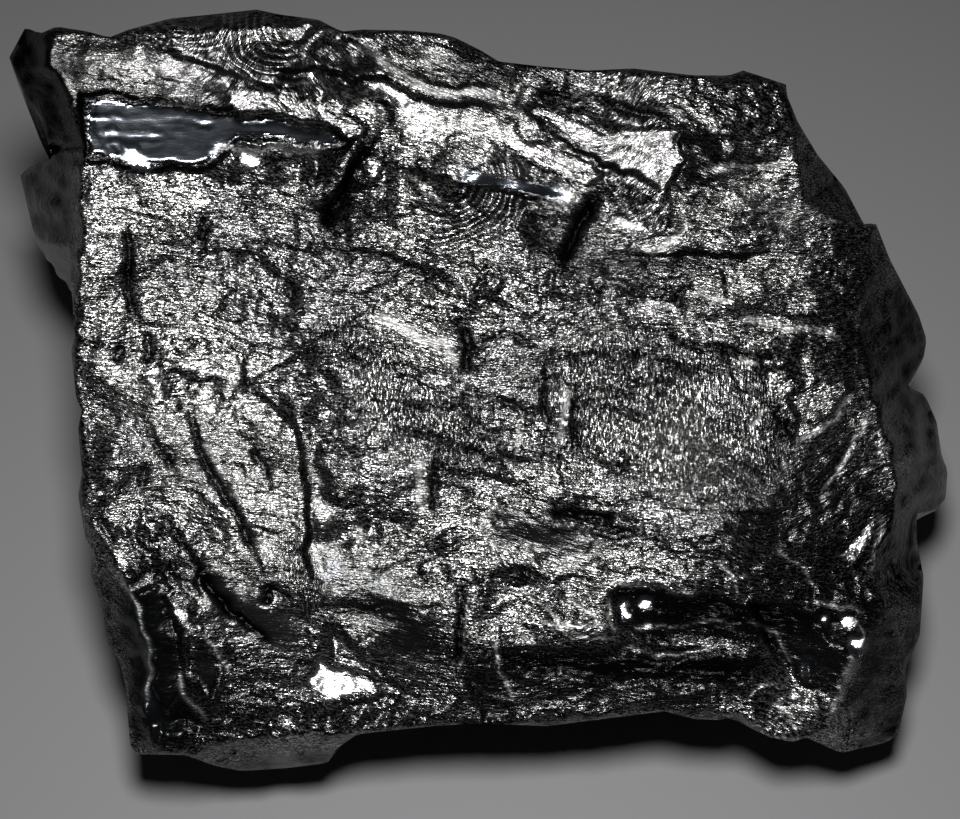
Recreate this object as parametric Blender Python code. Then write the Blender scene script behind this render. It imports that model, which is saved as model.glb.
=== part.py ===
"""Anthracite lump: one broken piece of hard coal, about 98 mm across, resting on a flat under-face.

The lump is described from its broad broken face. That face is a height w over the face plane (u to the
right, v up the slope), tilted back by FACE_TILT. Past the rim of the face the flanks fall away, and below
the widest outline the underside draws in to a flat patch that the lump rests on. Lengths are millimetres.
"""

import math

import bpy
import numpy as np
from mathutils import Vector, noise
from mathutils.geometry import delaunay_2d_cdt

MM = 0.001

# Driving dimensions
FACE_TILT = math.radians(25.0)  # slope of the broad face, down towards -Y
FACE_RISE = 34.0  # height of the middle of the face above the ground
FACE_DISH = 900.0  # radius of the shallow dish of the face
DISH_CENTRE = (0.0, 24.0)
WIDENING = 1.0 / 320.0  # share by which the flanks stand further out for each millimetre below the face
CELL = 0.85  # spacing of the points that carry the face
RING_STEPS = 26  # rings from the widest outline down to the ground
TRIANGLES = 9400

# Widest outline of the lump, seen square to the face: (u, v), clockwise from the horn at the upper left
OUTLINE = (
    (-47.3, 35.3), (-45.7, 38.3), (-44.2, 37.7), (-42.6, 38.4), (-39.4, 37.9), (-37.3, 37.3),
    (-35.3, 38.1), (-31.2, 39.2), (-28.1, 39.5), (-22.5, 40.1), (-20.2, 39.6), (-16.3, 39.1),
    (-14.0, 37.9), (-11.8, 38.1), (-7.2, 38.0), (-4.1, 37.7), (-2.6, 37.3), (0.0, 36.0),
    (1.8, 34.9), (6.1, 34.4), (10.7, 34.0), (15.3, 34.2), (21.4, 33.5), (24.9, 33.5),
    (26.3, 34.0), (30.6, 32.6), (30.7, 31.5), (31.8, 28.8), (33.8, 25.5), (36.5, 22.2),
    (38.4, 18.6), (39.6, 18.7), (41.0, 15.1), (43.9, 9.5), (44.7, 7.0), (44.4, 5.2),
    (42.8, 2.3), (44.5, 1.5), (45.7, -1.2), (46.2, -4.6), (46.8, -6.1), (46.6, -8.9),
    (45.7, -10.0), (43.7, -10.4), (43.7, -13.1), (44.4, -16.8), (44.0, -22.7), (42.6, -25.8),
    (42.7, -28.7), (41.8, -32.6), (40.5, -33.4), (36.1, -34.4), (32.6, -32.8), (31.3, -33.3),
    (29.0, -32.8), (27.4, -32.0), (26.1, -30.5), (24.0, -31.1), (21.4, -31.0), (18.4, -30.2),
    (6.6, -31.7), (0.0, -31.4), (-4.9, -31.7), (-12.4, -32.5), (-14.8, -34.2), (-15.4, -35.4),
    (-19.4, -35.9), (-24.0, -36.2), (-26.6, -35.7), (-29.6, -34.6), (-34.7, -34.5), (-35.2, -33.4),
    (-35.6, -28.0), (-36.2, -25.3), (-37.3, -23.5), (-38.2, -19.1), (-39.1, -16.5), (-39.0, -13.8),
    (-39.6, -13.2), (-40.4, -8.6), (-40.0, -6.4), (-40.4, -1.8), (-40.0, 0.0), (-40.6, 1.2),
    (-41.1, 6.0), (-40.7, 7.3), (-41.1, 12.5), (-41.3, 16.5), (-44.2, 17.0), (-44.9, 17.9),
    (-46.2, 23.5), (-45.0, 24.5), (-43.0, 25.0), (-43.4, 26.6), (-44.0, 29.2), (-46.0, 32.1),
)

# Rim of the broken face: (u, v, fall of the flank outside it for each millimetre outwards)
RIM = (
    (-42.8, 38.0, 2.0), (-37.3, 37.1, 2.0), (-35.0, 38.0, 2.2), (-29.6, 38.4, 2.4), (-24.0, 38.4, 2.4),
    (-15.5, 38.0, 2.4), (-11.8, 37.9, 2.0), (-4.1, 37.5, 2.0), (1.8, 34.8, 2.0), (13.5, 33.9, 2.0),
    (29.5, 32.4, 1.8), (31.2, 30.3, 1.5), (31.8, 25.1, 1.4), (32.0, 22.9, 1.4), (32.4, 20.5, 1.5),
    (39.1, 17.9, 1.8), (39.0, 14.4, 1.6), (38.4, 11.9, 1.5), (37.6, 8.6, 1.4), (38.2, 5.5, 1.4),
    (39.4, 1.5, 1.9), (40.5, -2.3, 2.2), (41.6, -3.8, 2.4), (41.8, -7.6, 2.4), (40.8, -12.2, 1.9),
    (39.3, -15.3, 1.6), (39.5, -18.4, 1.4), (40.5, -20.0, 1.2), (37.6, -24.2, 0.8), (36.7, -27.3, 0.8),
    (35.0, -30.2, 0.8), (34.4, -31.7, 1.0), (32.6, -32.6, 1.5), (29.0, -32.6, 2.0), (26.1, -30.4, 2.0),
    (18.4, -30.1, 2.0), (0.0, -31.3, 2.0), (-12.4, -32.4, 2.0), (-20.5, -32.7, 2.0), (-26.6, -33.8, 2.0),
    (-29.6, -34.2, 2.0), (-33.0, -33.5, 1.6), (-33.6, -31.1, 1.3), (-33.2, -24.8, 1.3), (-35.0, -20.5, 1.4),
    (-35.3, -17.6, 1.4), (-36.7, -14.5, 1.4), (-38.8, -11.9, 1.5), (-39.4, -8.6, 1.8), (-40.1, -1.8, 2.0),
    (-40.6, 6.0, 2.2), (-40.3, 12.2, 2.6), (-39.9, 17.4, 3.0), (-40.3, 20.5, 3.2), (-40.0, 24.5, 3.0),
    (-39.4, 26.8, 2.4), (-40.5, 28.8, 2.0), (-41.1, 31.2, 1.9), (-42.2, 33.7, 1.8), (-43.4, 34.6, 1.8),
)

# Steps in the face: (path, drop, width of the riser, length over which the low side climbs back).
# The ground to the right of someone walking the path is the low side.
STEPS = (
    # edge of the thick plate that covers the left of the face
    (((-15.7, -20.5), (-17.1, -16.1), (-17.9, -13.8), (-17.4, -10.7), (-18.2, -6.1), (-19.0, -1.8),
      (-20.6, 0.0), (-24.5, 6.5)), 1.4, 0.9, 9.0),
    # slanted notch above the middle
    (((-15.9, 18.4), (-15.0, 21.0), (-12.5, 24.5), (-10.9, 27.8)), 1.7, 0.8, 6.0),
    # lip that hangs over the glassy channel, and the channel's upper edge
    (((-40.0, 31.7), (-34.0, 31.3), (-29.0, 30.0), (-24.0, 29.1), (-19.0, 28.3), (-14.0, 26.9),
      (-12.4, 26.6)), 1.6, 0.7, 4.0),
    # ledge that runs on from the slanted notch
    (((-9.0, 25.2), (-5.6, 23.7), (0.0, 22.9), (9.5, 20.3)), 0.8, 0.6, 5.0),
    # crisp right edge of the wedge panel
    (((18.5, 21.3), (20.5, 25.7), (19.6, 26.8), (20.3, 28.5)), 1.2, 0.5, 6.0),
    # short ledges of the left plate
    (((-32.7, 4.3), (-28.5, 4.0), (-24.3, 4.6)), 0.8, 0.6, 6.0),
    (((-24.0, 17.6), (-20.9, 17.0), (-17.1, 16.1), (-14.0, 14.1)), 0.9, 0.6, 6.0),
    # ledge above the dark lower band
    (((-1.0, -19.6), (5.0, -18.9), (12.7, -17.8), (18.4, -18.5), (24.0, -19.3), (29.0, -20.8)),
     1.3, 0.8, 6.0),
    # curved edge at the lower left
    (((-16.0, -20.4), (-13.3, -23.3), (-8.7, -27.0), (-6.7, -28.8)), 1.1, 0.6, 4.0),
)

# Grooves (depth above zero) and ridges (depth below zero): (path, depth, half width)
GROOVES = (
    # glassy channel across the upper left
    (((-40.5, 27.4), (-34.0, 28.2), (-28.0, 27.8), (-20.0, 26.4), (-13.5, 25.6)), 1.3, 2.0),
    # long crack in the left plate and the notch that ends it
    (((-29.2, 1.7), (-28.1, -3.5), (-26.6, -7.2), (-24.6, -10.4), (-21.1, -17.6)), 1.2, 0.7),
    (((-21.6, -17.8), (-19.0, -19.4)), 1.1, 1.0),
    # channel beside the wedge panel
    (((3.5, 30.6), (5.0, 28.9), (9.2, 25.7), (15.3, 22.9), (17.4, 21.9)), 1.5, 0.9),
    # slit under it
    (((12.2, 22.0), (10.7, 20.5), (8.6, 15.9), (7.3, 13.8)), 1.6, 1.0),
    # folds along the top
    (((-13.0, 33.4), (-9.0, 32.4), (-5.0, 31.7), (0.0, 30.3)), 1.1, 0.8),
    (((-11.9, 31.8), (-9.6, 30.0), (-7.5, 28.5)), 1.0, 0.8),
    (((-10.2, 35.5), (-5.6, 32.9), (0.0, 31.9)), -0.8, 0.7),
    (((-35.0, 37.9), (-33.0, 36.6), (-30.0, 35.0)), 0.9, 0.8),
    (((-24.0, 35.0), (-17.0, 33.4), (-12.0, 34.8)), 0.7, 1.0),
    # bands of the upper right
    (((24.0, 16.4), (28.0, 16.2), (31.7, 16.0)), 0.9, 0.8),
    (((22.0, 25.3), (27.0, 25.0), (31.5, 25.3)), 0.7, 0.7),
    (((25.2, 10.6), (28.6, 9.9), (33.6, 9.2), (37.2, 8.1)), 1.3, 0.8),
    (((25.2, 9.0), (30.0, 8.2), (36.6, 6.9)), -0.7, 0.7),
    (((21.0, 14.1), (20.0, 10.7), (21.1, 8.7)), 0.9, 0.7),
    (((9.5, 15.2), (17.0, 14.4), (23.0, 13.6)), 0.9, 0.8),
    (((7.6, 30.4), (11.0, 29.6), (15.3, 30.6)), 0.6, 0.7),
    # streak and crescent in the middle
    (((-10.7, 9.9), (-5.6, 7.5), (-2.1, 4.0)), -0.8, 0.9),
    (((-2.6, 8.6), (-1.0, 5.5), (-1.8, 2.6)), 1.0, 0.9),
    # lower left
    (((-33.3, -9.5), (-31.6, -11.3), (-29.6, -13.8), (-29.2, -16.5), (-26.6, -18.8), (-23.0, -22.0)), 1.2, 0.9),
    (((-28.0, -21.8), (-24.6, -26.1)), -0.8, 0.8),
    (((-30.2, -21.9), (-30.0, -25.0), (-30.1, -29.6)), -0.8, 0.9),
    (((-18.7, -29.4), (-14.8, -30.0), (-13.3, -29.2), (-9.5, -28.4), (-7.0, -29.4)), 1.1, 0.9),
    # lower middle
    (((-2.1, -16.8), (-2.3, -21.0), (-2.6, -26.5)), 0.8, 0.6),
    (((-6.1, -5.4), (-6.1, -11.5)), -0.6, 0.7),
    (((0.6, -22.7), (1.7, -25.4), (3.1, -29.4)), -0.8, 0.7),
    (((13.8, -23.8), (18.0, -24.4), (24.0, -24.0)), -0.7, 0.8),
    # right-hand end
    (((38.8, -0.5), (37.5, -2.7), (35.9, -5.7), (34.4, -8.0)), -0.8, 0.8),
    (((37.6, -9.8), (38.4, -12.6), (37.6, -15.0)), -0.8, 1.2),
)

# Domes (height above zero) and hollows (height below zero): (u, v, radius along u, radius along v, height)
DOMES = (
    (14.0, 4.2, 5.5, 4.6, 0.9),
    (7.9, 4.4, 1.6, 1.4, -1.1),
    (9.2, 1.5, 1.5, 1.6, 0.8),
    (13.1, -11.8, 3.2, 1.4, -0.9),
    (4.2, -16.8, 2.2, 1.3, -0.8),
    (-3.2, -13.1, 1.5, 1.5, 0.8),
    (-13.2, 6.0, 5.0, 4.6, 0.7),
    (-19.4, 12.1, 1.2, 2.6, -0.9),
    (-1.2, 23.0, 4.0, 2.6, 0.6),
    (28.3, -2.9, 2.2, 2.4, 0.8),
    (33.5, -2.0, 2.8, 2.0, 0.8),
    (31.3, -26.1, 3.2, 3.0, -1.3),
    (9.6, -22.8, 4.2, 1.8, 0.8),
    (-19.0, 34.8, 4.4, 1.8, 0.6),
    (-31.5, -16.4, 3.4, 3.0, -0.8),
    (-37.0, -6.0, 2.2, 4.2, 0.7),
    (-10.0, -15.0, 6.0, 5.0, -0.5),
)

# Underside: patch that the lump rests on, and flat or scooped breaks across the hidden sides
BASE = (
    (-26.0, -14.0), (-16.0, -17.5), (0.0, -19.0), (18.0, -18.5), (28.0, -15.0), (32.5, -5.0), (33.0, 6.0),
    (29.0, 17.0), (19.0, 25.5), (4.0, 28.5), (-16.0, 28.5), (-28.0, 22.5), (-32.0, 9.0), (-30.5, -4.0),
)
BASE_CENTRE = (0.0, 4.0)
FLAT_BREAKS = (
    # (direction the break faces, how far its plane passes from the middle of the lump)
    ((-0.76, 0.10, -0.64), 35.0),
    ((-0.50, 0.60, -0.62), 36.5),
    ((0.15, 0.78, -0.60), 30.0),
    ((0.66, 0.48, -0.58), 37.0),
    ((0.84, -0.20, -0.50), 42.5),
    ((-0.62, -0.52, -0.58), 41.5),
    ((-0.40, 0.91, 0.05), 41.0),
    ((0.62, 0.78, 0.0), 37.5),
    ((0.10, 0.99, 0.0), 29.5),
)
SCOOPED_BREAKS = (
    # (centre of the round break, its radius)
    ((17.0, 55.0, 20.0), 28.0),
    ((-31.0, 54.0, 10.0), 27.0),
    ((-61.0, -4.0, 10.0), 25.0),
    ((59.0, 12.0, 5.0), 24.0),
)
LUMP_MIDDLE = (0.0, 3.0, 23.0)


def path_reach(points, path):
    """Distance of each point from a path, which side of it (+1 right, -1 left) and its share of the way from an end."""
    nearest = np.full(len(points), np.inf)
    offset = np.zeros(len(points))
    travelled = np.zeros(len(points))
    length_before = 0.0
    for start, end in zip(np.array(path[:-1]), np.array(path[1:])):
        span = end - start
        length = math.hypot(*span)
        gap = points - start
        share = np.clip(gap @ span / length**2, 0.0, 1.0)
        distance = np.hypot(*(gap - share[:, None] * span).T)
        across = (gap[:, 0] * span[1] - gap[:, 1] * span[0]) / length
        tied = np.abs(distance - nearest) < 1e-9
        better = (distance < nearest - 1e-9) | (tied & (np.abs(across) > np.abs(offset)))
        nearest = np.where(better, distance, nearest)
        offset = np.where(better, across, offset)
        travelled = np.where(better, length_before + share * length, travelled)
        length_before += length
    from_end = np.minimum(travelled, length_before - travelled)
    return nearest, np.sign(offset), from_end / length_before


def smooth(value):
    """0 below 0, 1 above 1, and an even curve between."""
    value = np.clip(value, 0.0, 1.0)
    return value * value * (3.0 - 2.0 * value)


def ramp(value, bend):
    """0 for low values and the value itself for high ones, turning over a width of about bend."""
    return bend * np.logaddexp(0.0, value / bend)


def step(points, path, drop, riser, climb):
    distance, side, from_end = path_reach(points, path)
    fall = smooth(distance / riser) * np.exp(-distance / climb)
    return -drop * smooth(from_end / 0.3) * fall * (side > 0.0)


def groove(points, path, depth, half_width):
    distance, _, from_end = path_reach(points, path)
    taper = 0.2 + 0.8 * smooth(from_end / 0.25)
    return -depth * taper * np.exp(-((distance / half_width) ** 2))


def dome(points, u, v, radius_u, radius_v, height):
    reach = ((points[:, 0] - u) / radius_u) ** 2 + ((points[:, 1] - v) / radius_v) ** 2
    return height * np.exp(-1.4 * reach)


def waves(points, scale, seed):
    """Smooth noise between about -1 and 1; scale gives the size of a wave along each axis."""
    depth = np.zeros((len(points), 3))
    depth[:, : points.shape[1]] = points / np.array(scale)
    return np.array([noise.noise(Vector(place) + Vector((seed, 2.0 * seed, 0.5))) for place in depth])


def shards(points, size, seed):
    """Small tilted flat facets, as on a crushed edge, between about -1 and 1."""
    heights = []
    for u, v in points / size:
        centre = noise.voronoi(Vector((u, v, seed)))[1][0]
        tilt = noise.cell_vector(centre * 7.3) * 2.0 - Vector((1.0, 1.0, 1.0))
        heights.append(tilt.x * (u - centre.x) + tilt.y * (v - centre.y))
    return np.array(heights)


def inside(points, outline):
    """True for each point that lies within a closed outline."""
    within = np.zeros(len(points), bool)
    corners = np.array(outline)
    for start, end in zip(corners, np.roll(corners, -1, axis=0)):
        spans = (start[1] > points[:, 1]) != (end[1] > points[:, 1])
        rise = end[1] - start[1]
        crossing = start[0] + (points[:, 1] - start[1]) * (end[0] - start[0]) / (rise if rise else 1.0)
        within ^= spans & (points[:, 0] < crossing)
    return within


def flank_fall(points):
    """How far the flanks outside the rim lie below the face."""
    rim = np.array(RIM)
    nearest = np.full(len(points), np.inf)
    fall = np.zeros(len(points))
    for start, end in zip(rim, np.roll(rim, -1, axis=0)):
        span = end[:2] - start[:2]
        gap = points - start[:2]
        share = np.clip(gap @ span / (span @ span), 0.0, 1.0)
        distance = np.hypot(*(gap - share[:, None] * span).T)
        slope = start[2] + share * (end[2] - start[2])
        closer = distance < nearest
        nearest = np.where(closer, distance, nearest)
        fall = np.where(closer, slope * distance, fall)
    return np.where(inside(points, rim[:, :2]), 0.0, fall)


def wander(points):
    """Sideways drift of the broken edges, so that none of them runs quite straight."""
    return 0.55 * np.column_stack([waves(points, (4.0, 4.0), 41.0), waves(points, (4.0, 4.0), 47.0)])


def face_height(points):
    """Height w of the lump over the face plane at each (u, v)."""
    u, v = points.T
    height = ((u - DISH_CENTRE[0]) ** 2 + (v - DISH_CENTRE[1]) ** 2) / (2.0 * FACE_DISH)
    height -= 0.30 * ramp(-20.5 - v, 1.5)
    height -= 0.22 * ramp(u - 26.0, 2.5)
    height -= 0.16 * ramp(v - 32.0, 2.0)
    height += 0.9 * waves(points, (17.0, 12.0), 3.0)
    height += 0.30 * waves(points, (8.0, 3.4), 11.0)
    crushed = smooth(1.0 - np.abs(v + 31.5) / 2.5) + smooth(1.0 - np.hypot(u + 31.5, v + 16.5) / 6.0)
    height += 1.0 * crushed * shards(points, 2.8, 5.0)
    drifted = points + wander(points)
    for path, drop, riser, climb in STEPS:
        height += step(drifted, path, drop, riser, climb)
    for path, depth, half_width in GROOVES:
        height += groove(drifted, path, depth, half_width)
    for place in DOMES:
        height += dome(points, *place)
    return height - flank_fall(drifted)


def resample(corners, spacing):
    """Evenly spaced points round a closed outline."""
    corners = np.array(corners)
    closed = np.vstack([corners, corners[:1]])
    lengths = np.hypot(*np.diff(closed, axis=0).T)
    places = np.concatenate([[0.0], np.cumsum(lengths)])
    count = int(round(places[-1] / spacing))
    stops = np.arange(count) * places[-1] / count
    return np.column_stack([np.interp(stops, places, closed[:, axis]) for axis in (0, 1)])


def beside(path, offset, spacing):
    """Points along a path, moved to its right by an offset."""
    points = []
    for start, end in zip(np.array(path[:-1]), np.array(path[1:])):
        span = end - start
        length = math.hypot(*span)
        right = np.array([span[1], -span[0]]) / length
        for share in np.arange(0.5 * spacing, length, spacing) / length:
            points.append(start + share * span + offset * right)
    return points


def edge_points():
    """Points that follow the head and foot of each step and the bed and banks of each groove."""
    points = []
    for path, _, riser, _ in STEPS:
        points += beside(path, -0.1, 1.0) + beside(path, riser, 1.0)
    rim = [place[:2] for place in RIM + RIM[:1]]
    points += beside(rim, 0.0, 1.0)
    for path, _, half_width in GROOVES:
        points += beside(path, 0.0, 1.0)
        points += beside(path, 1.3 * half_width, 1.2) + beside(path, -1.3 * half_width, 1.2)
    points = np.array(points)
    return points - wander(points)


def thinned(points, settled, gap):
    """The points that lie at least a gap from each other and from the settled ones."""
    taken = {}
    kept = []
    for index, place in enumerate(np.vstack([settled, points])):
        cell = (int(place[0] // gap), int(place[1] // gap))
        near = [
            other
            for column in (-1, 0, 1)
            for row in (-1, 0, 1)
            for other in taken.get((cell[0] + column, cell[1] + row), ())
        ]
        free = all(math.hypot(*(place - other)) >= gap for other in near)
        if index < len(settled) or free:
            taken.setdefault(cell, []).append(place)
            kept.append(place)
    return np.array(kept)


def face_points(outline):
    """Outline points first, then points along the broken edges, then a staggered grid."""
    low = outline.min(axis=0)
    high = outline.max(axis=0)
    rows = np.arange(low[1], high[1], CELL * 0.87)
    grid = []
    for index, row in enumerate(rows):
        columns = np.arange(low[0] + 0.5 * CELL * (index % 2), high[0], CELL)
        grid.append(np.column_stack([columns, np.full(len(columns), row)]))
    points = np.vstack([edge_points()] + grid)
    points = points[inside(points, outline)]
    closed = np.vstack([outline, outline[:1]])
    points = points[path_reach(points, closed)[0] > 0.6 * CELL]
    return thinned(points, outline, 0.6 * CELL)


def to_world(points, height):
    """Face coordinates to world: the face leans back by FACE_TILT and stands FACE_RISE above the ground."""
    u, v = points.T * (1.0 - WIDENING * height)
    y = v * math.cos(FACE_TILT) - height * math.sin(FACE_TILT)
    z = v * math.sin(FACE_TILT) + height * math.cos(FACE_TILT) + FACE_RISE
    return np.column_stack([u, y, z])


def base_ring(top_ring):
    """The point of the resting patch's edge that lies under each point of the widest outline."""
    centre = np.array(BASE_CENTRE)
    corners = np.array(BASE) - centre
    corner_angles = np.arctan2(corners[:, 1], corners[:, 0])
    corner_radii = np.hypot(*corners.T)
    order = np.argsort(corner_angles)
    spokes = top_ring[:, :2] - centre
    angles = np.arctan2(spokes[:, 1], spokes[:, 0])
    radii = np.interp(angles, corner_angles[order], corner_radii[order], period=2.0 * math.pi)
    return np.column_stack([np.cos(angles), np.sin(angles)]) * radii[:, None] + centre


def break_off(ring, share):
    """Flattens, scoops and roughens one ring of the hidden sides, moving its points level with the ground."""
    middle = np.array(LUMP_MIDDLE)
    moved = ring.copy()
    for direction, distance in FLAT_BREAKS:
        facing = np.array(direction) / math.sqrt(sum(part * part for part in direction))
        proud = np.maximum(0.0, (moved - middle) @ facing - distance)
        level = facing[:2] / (facing[:2] @ facing[:2])
        moved[:, :2] -= 0.94 * proud[:, None] * level
    for centre, radius in SCOOPED_BREAKS:
        spoke = moved[:, :2] - np.array(centre[:2])
        reach = np.hypot(*spoke.T)
        level_radius = np.sqrt(np.maximum(0.0, radius**2 - (moved[:, 2] - centre[2]) ** 2))
        moved[:, :2] += spoke * (np.maximum(0.0, level_radius - reach) / reach)[:, None]
    outward = moved[:, :2] - middle[:2]
    outward /= np.hypot(*outward.T)[:, None]
    relief = 1.1 * waves(moved, (10.0, 10.0, 10.0), 21.0) + 0.4 * waves(moved, (6.0, 6.0, 2.4), 31.0)
    relief -= 1.2 * smooth((-10.0 - moved[:, 1]) / 10.0)
    moved[:, :2] += outward * relief[:, None]
    return ring + (moved - ring) * smooth(share / 0.25)


def under_rings(top_ring):
    """Rings of points from the widest outline down to the resting patch."""
    ground = base_ring(top_ring)
    behind = smooth((top_ring[:, 1] + 16.0) / 26.0)
    belly = 1.0 + 1.2 * behind
    rings = []
    for index in range(1, RING_STEPS + 1):
        share = index / RING_STEPS
        ring = np.empty_like(top_ring)
        ring[:, :2] = top_ring[:, :2] + (ground - top_ring[:, :2]) * (share**belly)[:, None]
        ring[:, 2] = top_ring[:, 2] * (1.0 - share)
        rings.append(break_off(ring, share))
    return rings


def lump_mesh():
    """Points and triangles of the closed lump, in millimetres."""
    outline = resample(OUTLINE, 1.3)
    plan = face_points(outline)
    ring_size = len(outline)
    edges = [(index, (index + 1) % ring_size) for index in range(ring_size)]
    flat = delaunay_2d_cdt([Vector(place) for place in plan], edges, [], 1, 1e-6)
    plan = np.array([tuple(place) for place in flat[0]])
    faces = [tuple(face) for face in flat[2]]
    face_side = to_world(plan, face_height(plan))
    rings = under_rings(face_side[:ring_size])
    points = np.vstack([face_side] + rings)
    upper = list(range(ring_size))
    for index in range(len(rings)):
        lower = [len(face_side) + index * ring_size + place for place in range(ring_size)]
        for place in range(ring_size):
            after = (place + 1) % ring_size
            faces.append((upper[place], upper[after], lower[after], lower[place]))
        upper = lower
    faces.append(tuple(upper))
    return points, faces


def anthracite():
    material = bpy.data.materials.new("anthracite")
    material.use_nodes = True
    shader = material.node_tree.nodes["Principled BSDF"]
    shader.inputs["Base Color"].default_value = (0.035, 0.035, 0.037, 1.0)
    shader.inputs["Roughness"].default_value = 0.38
    shader.inputs["Metallic"].default_value = 0.25
    return material


def centred(points):
    """Moves the lump so that the middle of its box lies over the origin, with the ground at z = 0."""
    low = points.min(axis=0)
    high = points.max(axis=0)
    return points - np.array([(low[0] + high[0]) / 2.0, (low[1] + high[1]) / 2.0, low[2]])


def anthracite_lump():
    points, faces = lump_mesh()
    mesh = bpy.data.meshes.new("anthracite_lump")
    mesh.from_pydata([tuple(place) for place in centred(points) * MM], [], faces)
    mesh.materials.append(anthracite())
    lump = bpy.data.objects.new("anthracite_lump", mesh)
    bpy.context.scene.collection.objects.link(lump)
    mesh.calc_loop_triangles()
    thin_out = lump.modifiers.new("thin out", "DECIMATE")
    thin_out.ratio = TRIANGLES / len(mesh.loop_triangles)
    thin_out.use_collapse_triangulate = True
    return lump


def clear_scene():
    for item in list(bpy.data.objects):
        bpy.data.objects.remove(item)


clear_scene()
anthracite_lump()
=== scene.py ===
import math

import bpy
import numpy as np
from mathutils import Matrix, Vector, noise
from mathutils.geometry import delaunay_2d_cdt


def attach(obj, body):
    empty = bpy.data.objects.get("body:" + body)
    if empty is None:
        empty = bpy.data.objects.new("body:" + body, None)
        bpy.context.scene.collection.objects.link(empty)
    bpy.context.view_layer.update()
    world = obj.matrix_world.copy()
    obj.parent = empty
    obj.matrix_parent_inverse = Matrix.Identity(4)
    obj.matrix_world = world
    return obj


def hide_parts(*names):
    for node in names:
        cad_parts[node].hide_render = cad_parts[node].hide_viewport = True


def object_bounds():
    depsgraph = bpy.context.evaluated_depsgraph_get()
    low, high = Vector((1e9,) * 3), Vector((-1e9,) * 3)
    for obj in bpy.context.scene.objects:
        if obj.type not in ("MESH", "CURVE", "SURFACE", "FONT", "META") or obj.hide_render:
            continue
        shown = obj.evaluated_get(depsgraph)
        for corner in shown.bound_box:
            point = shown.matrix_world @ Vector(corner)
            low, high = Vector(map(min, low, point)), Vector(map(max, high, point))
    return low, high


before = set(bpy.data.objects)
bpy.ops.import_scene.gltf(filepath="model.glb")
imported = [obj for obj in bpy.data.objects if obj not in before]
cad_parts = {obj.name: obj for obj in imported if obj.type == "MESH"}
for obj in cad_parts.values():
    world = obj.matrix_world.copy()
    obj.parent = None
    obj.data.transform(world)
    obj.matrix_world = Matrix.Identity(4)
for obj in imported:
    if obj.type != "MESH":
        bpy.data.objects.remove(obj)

CAD_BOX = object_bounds()
MM = 0.001

# The lump is one broken piece of hard coal. Its broad broken face is a height w over the face plane, with u
# to the right and v up the slope, tilted back by FACE_TILT. Lengths are millimetres unless a comment says
# otherwise.
FACE_TILT = math.radians(25.0)
FACE_RISE = 34.0  # height of the middle of the face above the ground
FACE_DISH = 900.0  # radius of the shallow dish of the face
DISH_CENTRE = (0.0, 24.0)
WIDENING = 1.0 / 320.0  # share by which the flanks stand further out for each millimetre below the face
BOX_MIDDLE = (0.25, 4.115)  # middle of the lump's box before it is centred over the origin
BOX_GAP = 0.01  # the finished surface stays this far inside the box of the solid
CELL = 0.31  # spacing of the points that carry the face
CHIP_EDGE = 0.35  # width of the blend at the edge of a flat chip
OUTLINE_CELL = 0.65  # spacing of the points of the widest outline and of the rings below it
RING_STEPS = 44  # rings from the widest outline down to the ground
CLIMB_RATE = 0.6  # how fast the ground beside a step climbs back, over the step's own length for it
CREST_HEIGHT = 0.2  # share of its mark that a crest stands up, since crests are worn low
CREST_PLAINNESS = 2.5  # how plainly a crest shows, for each millimetre of its mark
CRUSHED_EDGE = (-31.5, 2.5)  # v of the crushed lower edge, and its half width
CRUSHED_PATCH = (-31.5, -16.5, 6.0)  # u, v and radius of the crushed patch at the lower left
CRUSHED_SIZE = 2.8  # size of the facets there
BED_THICKNESS = 3.8
LEDGE_HEIGHT = 0.22  # of the low ledges that the bedding makes
LEDGE_STEEP = 0.10  # share of a bed that its steep side takes
FACET_HEIGHT = 0.15  # of the small facets all over the face
CRUMPLED_HEIGHT = 0.60
SMOOTHING = 0.9  # share of the fine relief that full polish takes away

# Smooth noise in layers: (height, size of a wave along each axis, seed of its pattern)
FACE_SWELLS = ((0.9, (17, 12), 3), (0.3, (8, 3.4), 11))
FLANK_SWELLS = ((1.1, (10, 10, 10), 21), (0.4, (6, 6, 2.4), 31))
BED_SWELLS = ((0.9, (9, 6), 15), (0.3, (2.6, 1.8), 25))
FAN_WOBBLE = ((0.8, (3.4, 3.4), 53), (0.2, (1.3, 1.3), 59))
JAGGED_RELIEF = ((0.13, (2.8, 1.6), 61), (0.06, (1.3, 0.9), 67))

# Lustre is kept as a logarithm: 0 is usual and 0.7 doubles the brightness. Polish runs from 0 to 1.
# painted shade in risers and cracks
RISER_PAINTED_SHADE = 1.3
CRACK_PAINTED_SHADE = 5.0  # for each millimetre of depth
DARKEST_CRACK_SHADE = 3.5
# painted shade just inside the rims of broad chips
CHIP_RIM_PAINTED_SHADE = 2.8
# painted shade on the flanks that fall away outside the rim
FLANK_PAINTED_SHADE = 0.9
FLANK_POLISH = 0.56
# painted highlight along crests
PAINTED_CREST_HIGHLIGHT = 1.6
CREST_POLISH = 0.45
HIDDEN_LUSTRE = -0.5  # of the sides below the widest outline
HIDDEN_POLISH = 0.45

# Coal material: colours, roughness, and how deep each fine pattern looks, in metres
COAL = (0.004, 0.004, 0.004, 1.0)
SILVER = (0.90, 0.89, 0.88, 1.0)
GLASS = (0.80, 0.88, 1.0, 1.0)
METALLIC = 0.92
GRAINY_ROUGHNESS = 0.25
GLASSY_ROUGHNESS = 0.14
CREST_ROUGHNESS = 0.55
STREAK_DEPTH = 0.00016
LEDGE_DEPTH = 0.00014
GRAIN_DEPTH = 0.00005
ARC_DEPTH = 0.00002
PAPER = (0.285, 0.285, 0.29, 1.0)

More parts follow.
